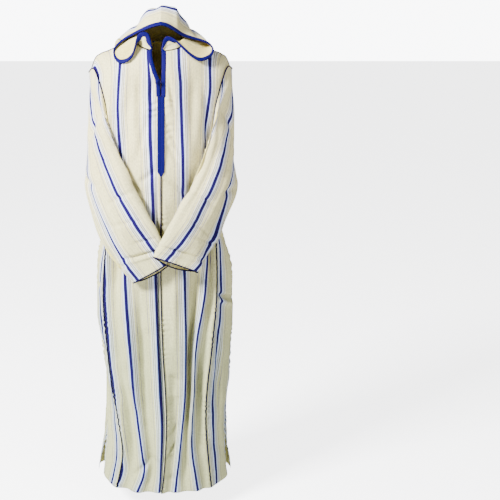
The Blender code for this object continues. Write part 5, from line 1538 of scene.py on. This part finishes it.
on_cloth = PIPING_RADIUS * 1.4
twisted_cord("centre_front_piping", seam_line(left_front, 0, HEM_LEVEL, PLACKET_TIP - 0.002, on_cloth),
             PIPING_RADIUS, PIPING, ["piping_centre_front"])
for word, panel, arm in (("left", left_front, left_sleeve), ("right", right_front, right_sleeve)):
    seam = seam_line(panel, -1, HEM_LEVEL, gore_corner() + 0.02, on_cloth)
    twisted_cord(f"side_front_piping_{word}", seam, PIPING_RADIUS, PIPING,
                 [f"piping_side_front_{word}"])
    points, outward, levels = panel
    ridge = points[-1] + outward[-1] * PIPING_RADIUS * 0.4
    ridge = ridge[np.abs(ridge[:, 0]) > NECK_HALF + 0.004]
    twisted_cord(f"shoulder_piping_{word}", ridge, PIPING_RADIUS, PIPING,
                 [f"piping_shoulder_{word}"])
    cloth, cloth_out = arm
    rim = cloth[-1] - cloth_out[-1] * SHELL / 2
    beyond = unit((cloth[-1] - cloth[-4]).mean(axis=0)) * PIPING_RADIUS * 0.6
    twisted_cord(f"cuff_piping_{word}", rim + beyond, PIPING_RADIUS * 1.05, PIPING,
                 [f"piping_cuff_{word}"], closed=True)
    rim = cloth[0] + cloth_out[0] * PIPING_RADIUS * 0.3
    back_off = unit(cloth[0] - cloth[2]) * 0.0006
    twisted_cord(f"armhole_piping_{word}", rim + back_off, PIPING_RADIUS * 0.9, PIPING, [],
                 closed=True)


# ---------------------------------------------------------------- floor, light and camera
FLOOR_LEVEL, FLOOR_HALF = -1.53, 60.0
FLOOR_COLOUR, FLOOR_GLOW = (0.80, 0.80, 0.81, 1), 5.0   # the glow is seen and lights nothing
SOFT_LIGHT, BACKDROP = 0.22, 9.0      # strength of the surround as light, and as it is seen
LIT_PLACE = (0, 0, -0.6)
LIGHTS = (
    # name, place, width, power
    ("key", (-2.7, -2.1, 1.9), 1.0, 1000),
    ("fill", (2.6, -2.6, 0.8), 1.4, 90),
)
CAMERA_PLACE, CAMERA_DIP = (0, -2.675, 0.049), 14.3     # and degrees below level
CAMERA_LENS, CAMERA_SHIFT = 59.6, 0.178


def seen_only(tree, seen, lit):
    """A strength that is `seen` where it is looked at and `lit` where it lights other things."""
    sight = tree.nodes.new("ShaderNodeLightPath")
    return calc(tree, "MULTIPLY_ADD", sight.outputs["Is Camera Ray"], seen - lit, lit)


def floor_material():
    """The pale matt floor."""
    material = bpy.data.materials.new("pale floor")
    material.use_nodes = True
    tree = material.node_tree
    shader = tree.nodes["Principled BSDF"]
    shader.inputs["Base Color"].default_value = FLOOR_COLOUR
    shader.inputs["Roughness"].default_value = 0.9
    shader.inputs["Emission Color"].default_value = FLOOR_COLOUR
    link(tree, seen_only(tree, FLOOR_GLOW, 0.0), shader.inputs["Emission Strength"])
    return material


def area_light(name, place, size, power):
    """A soft square light that looks at the robe."""
    data = bpy.data.lights.new(name, "AREA")
    data.size = size
    data.energy = power
    lamp = bpy.data.objects.new(name, data)
    bpy.context.scene.collection.objects.link(lamp)
    lamp.location = place
    away = np.array(LIT_PLACE, float) - np.array(place, float)
    lamp.rotation_euler = (math.atan2(math.hypot(away[0], away[1]), -away[2]), 0,
                           math.atan2(away[1], away[0]) - math.pi / 2)


floor_mesh = bpy.data.meshes.new("floor")
corners = [(x * FLOOR_HALF, y * FLOOR_HALF, FLOOR_LEVEL) for x, y in ((-1, -1), (1, -1), (1, 1), (-1, 1))]
floor_mesh.from_pydata(corners, [], [(0, 1, 2, 3)])
floor_mesh.materials.append(floor_material())
floor = bpy.data.objects.new("floor", floor_mesh)
bpy.context.scene.collection.objects.link(floor)

world = bpy.data.worlds.new("studio")
world.use_nodes = True
surround = world.node_tree.nodes["Background"]
surround.inputs["Color"].default_value = (0.97, 0.98, 1.0, 1)
link(world.node_tree, seen_only(world.node_tree, BACKDROP, SOFT_LIGHT), surround.inputs["Strength"])
bpy.context.scene.world = world
for light in LIGHTS:
    area_light(*light)

camera_data = bpy.data.cameras.new("camera")
camera_data.lens = CAMERA_LENS
camera_data.sensor_width = 36
camera_data.shift_x = CAMERA_SHIFT
camera = bpy.data.objects.new("camera", camera_data)
camera.location = CAMERA_PLACE
camera.rotation_euler = (math.radians(90 - CAMERA_DIP), 0, 0)
bpy.context.scene.collection.objects.link(camera)
bpy.context.scene.camera = camera
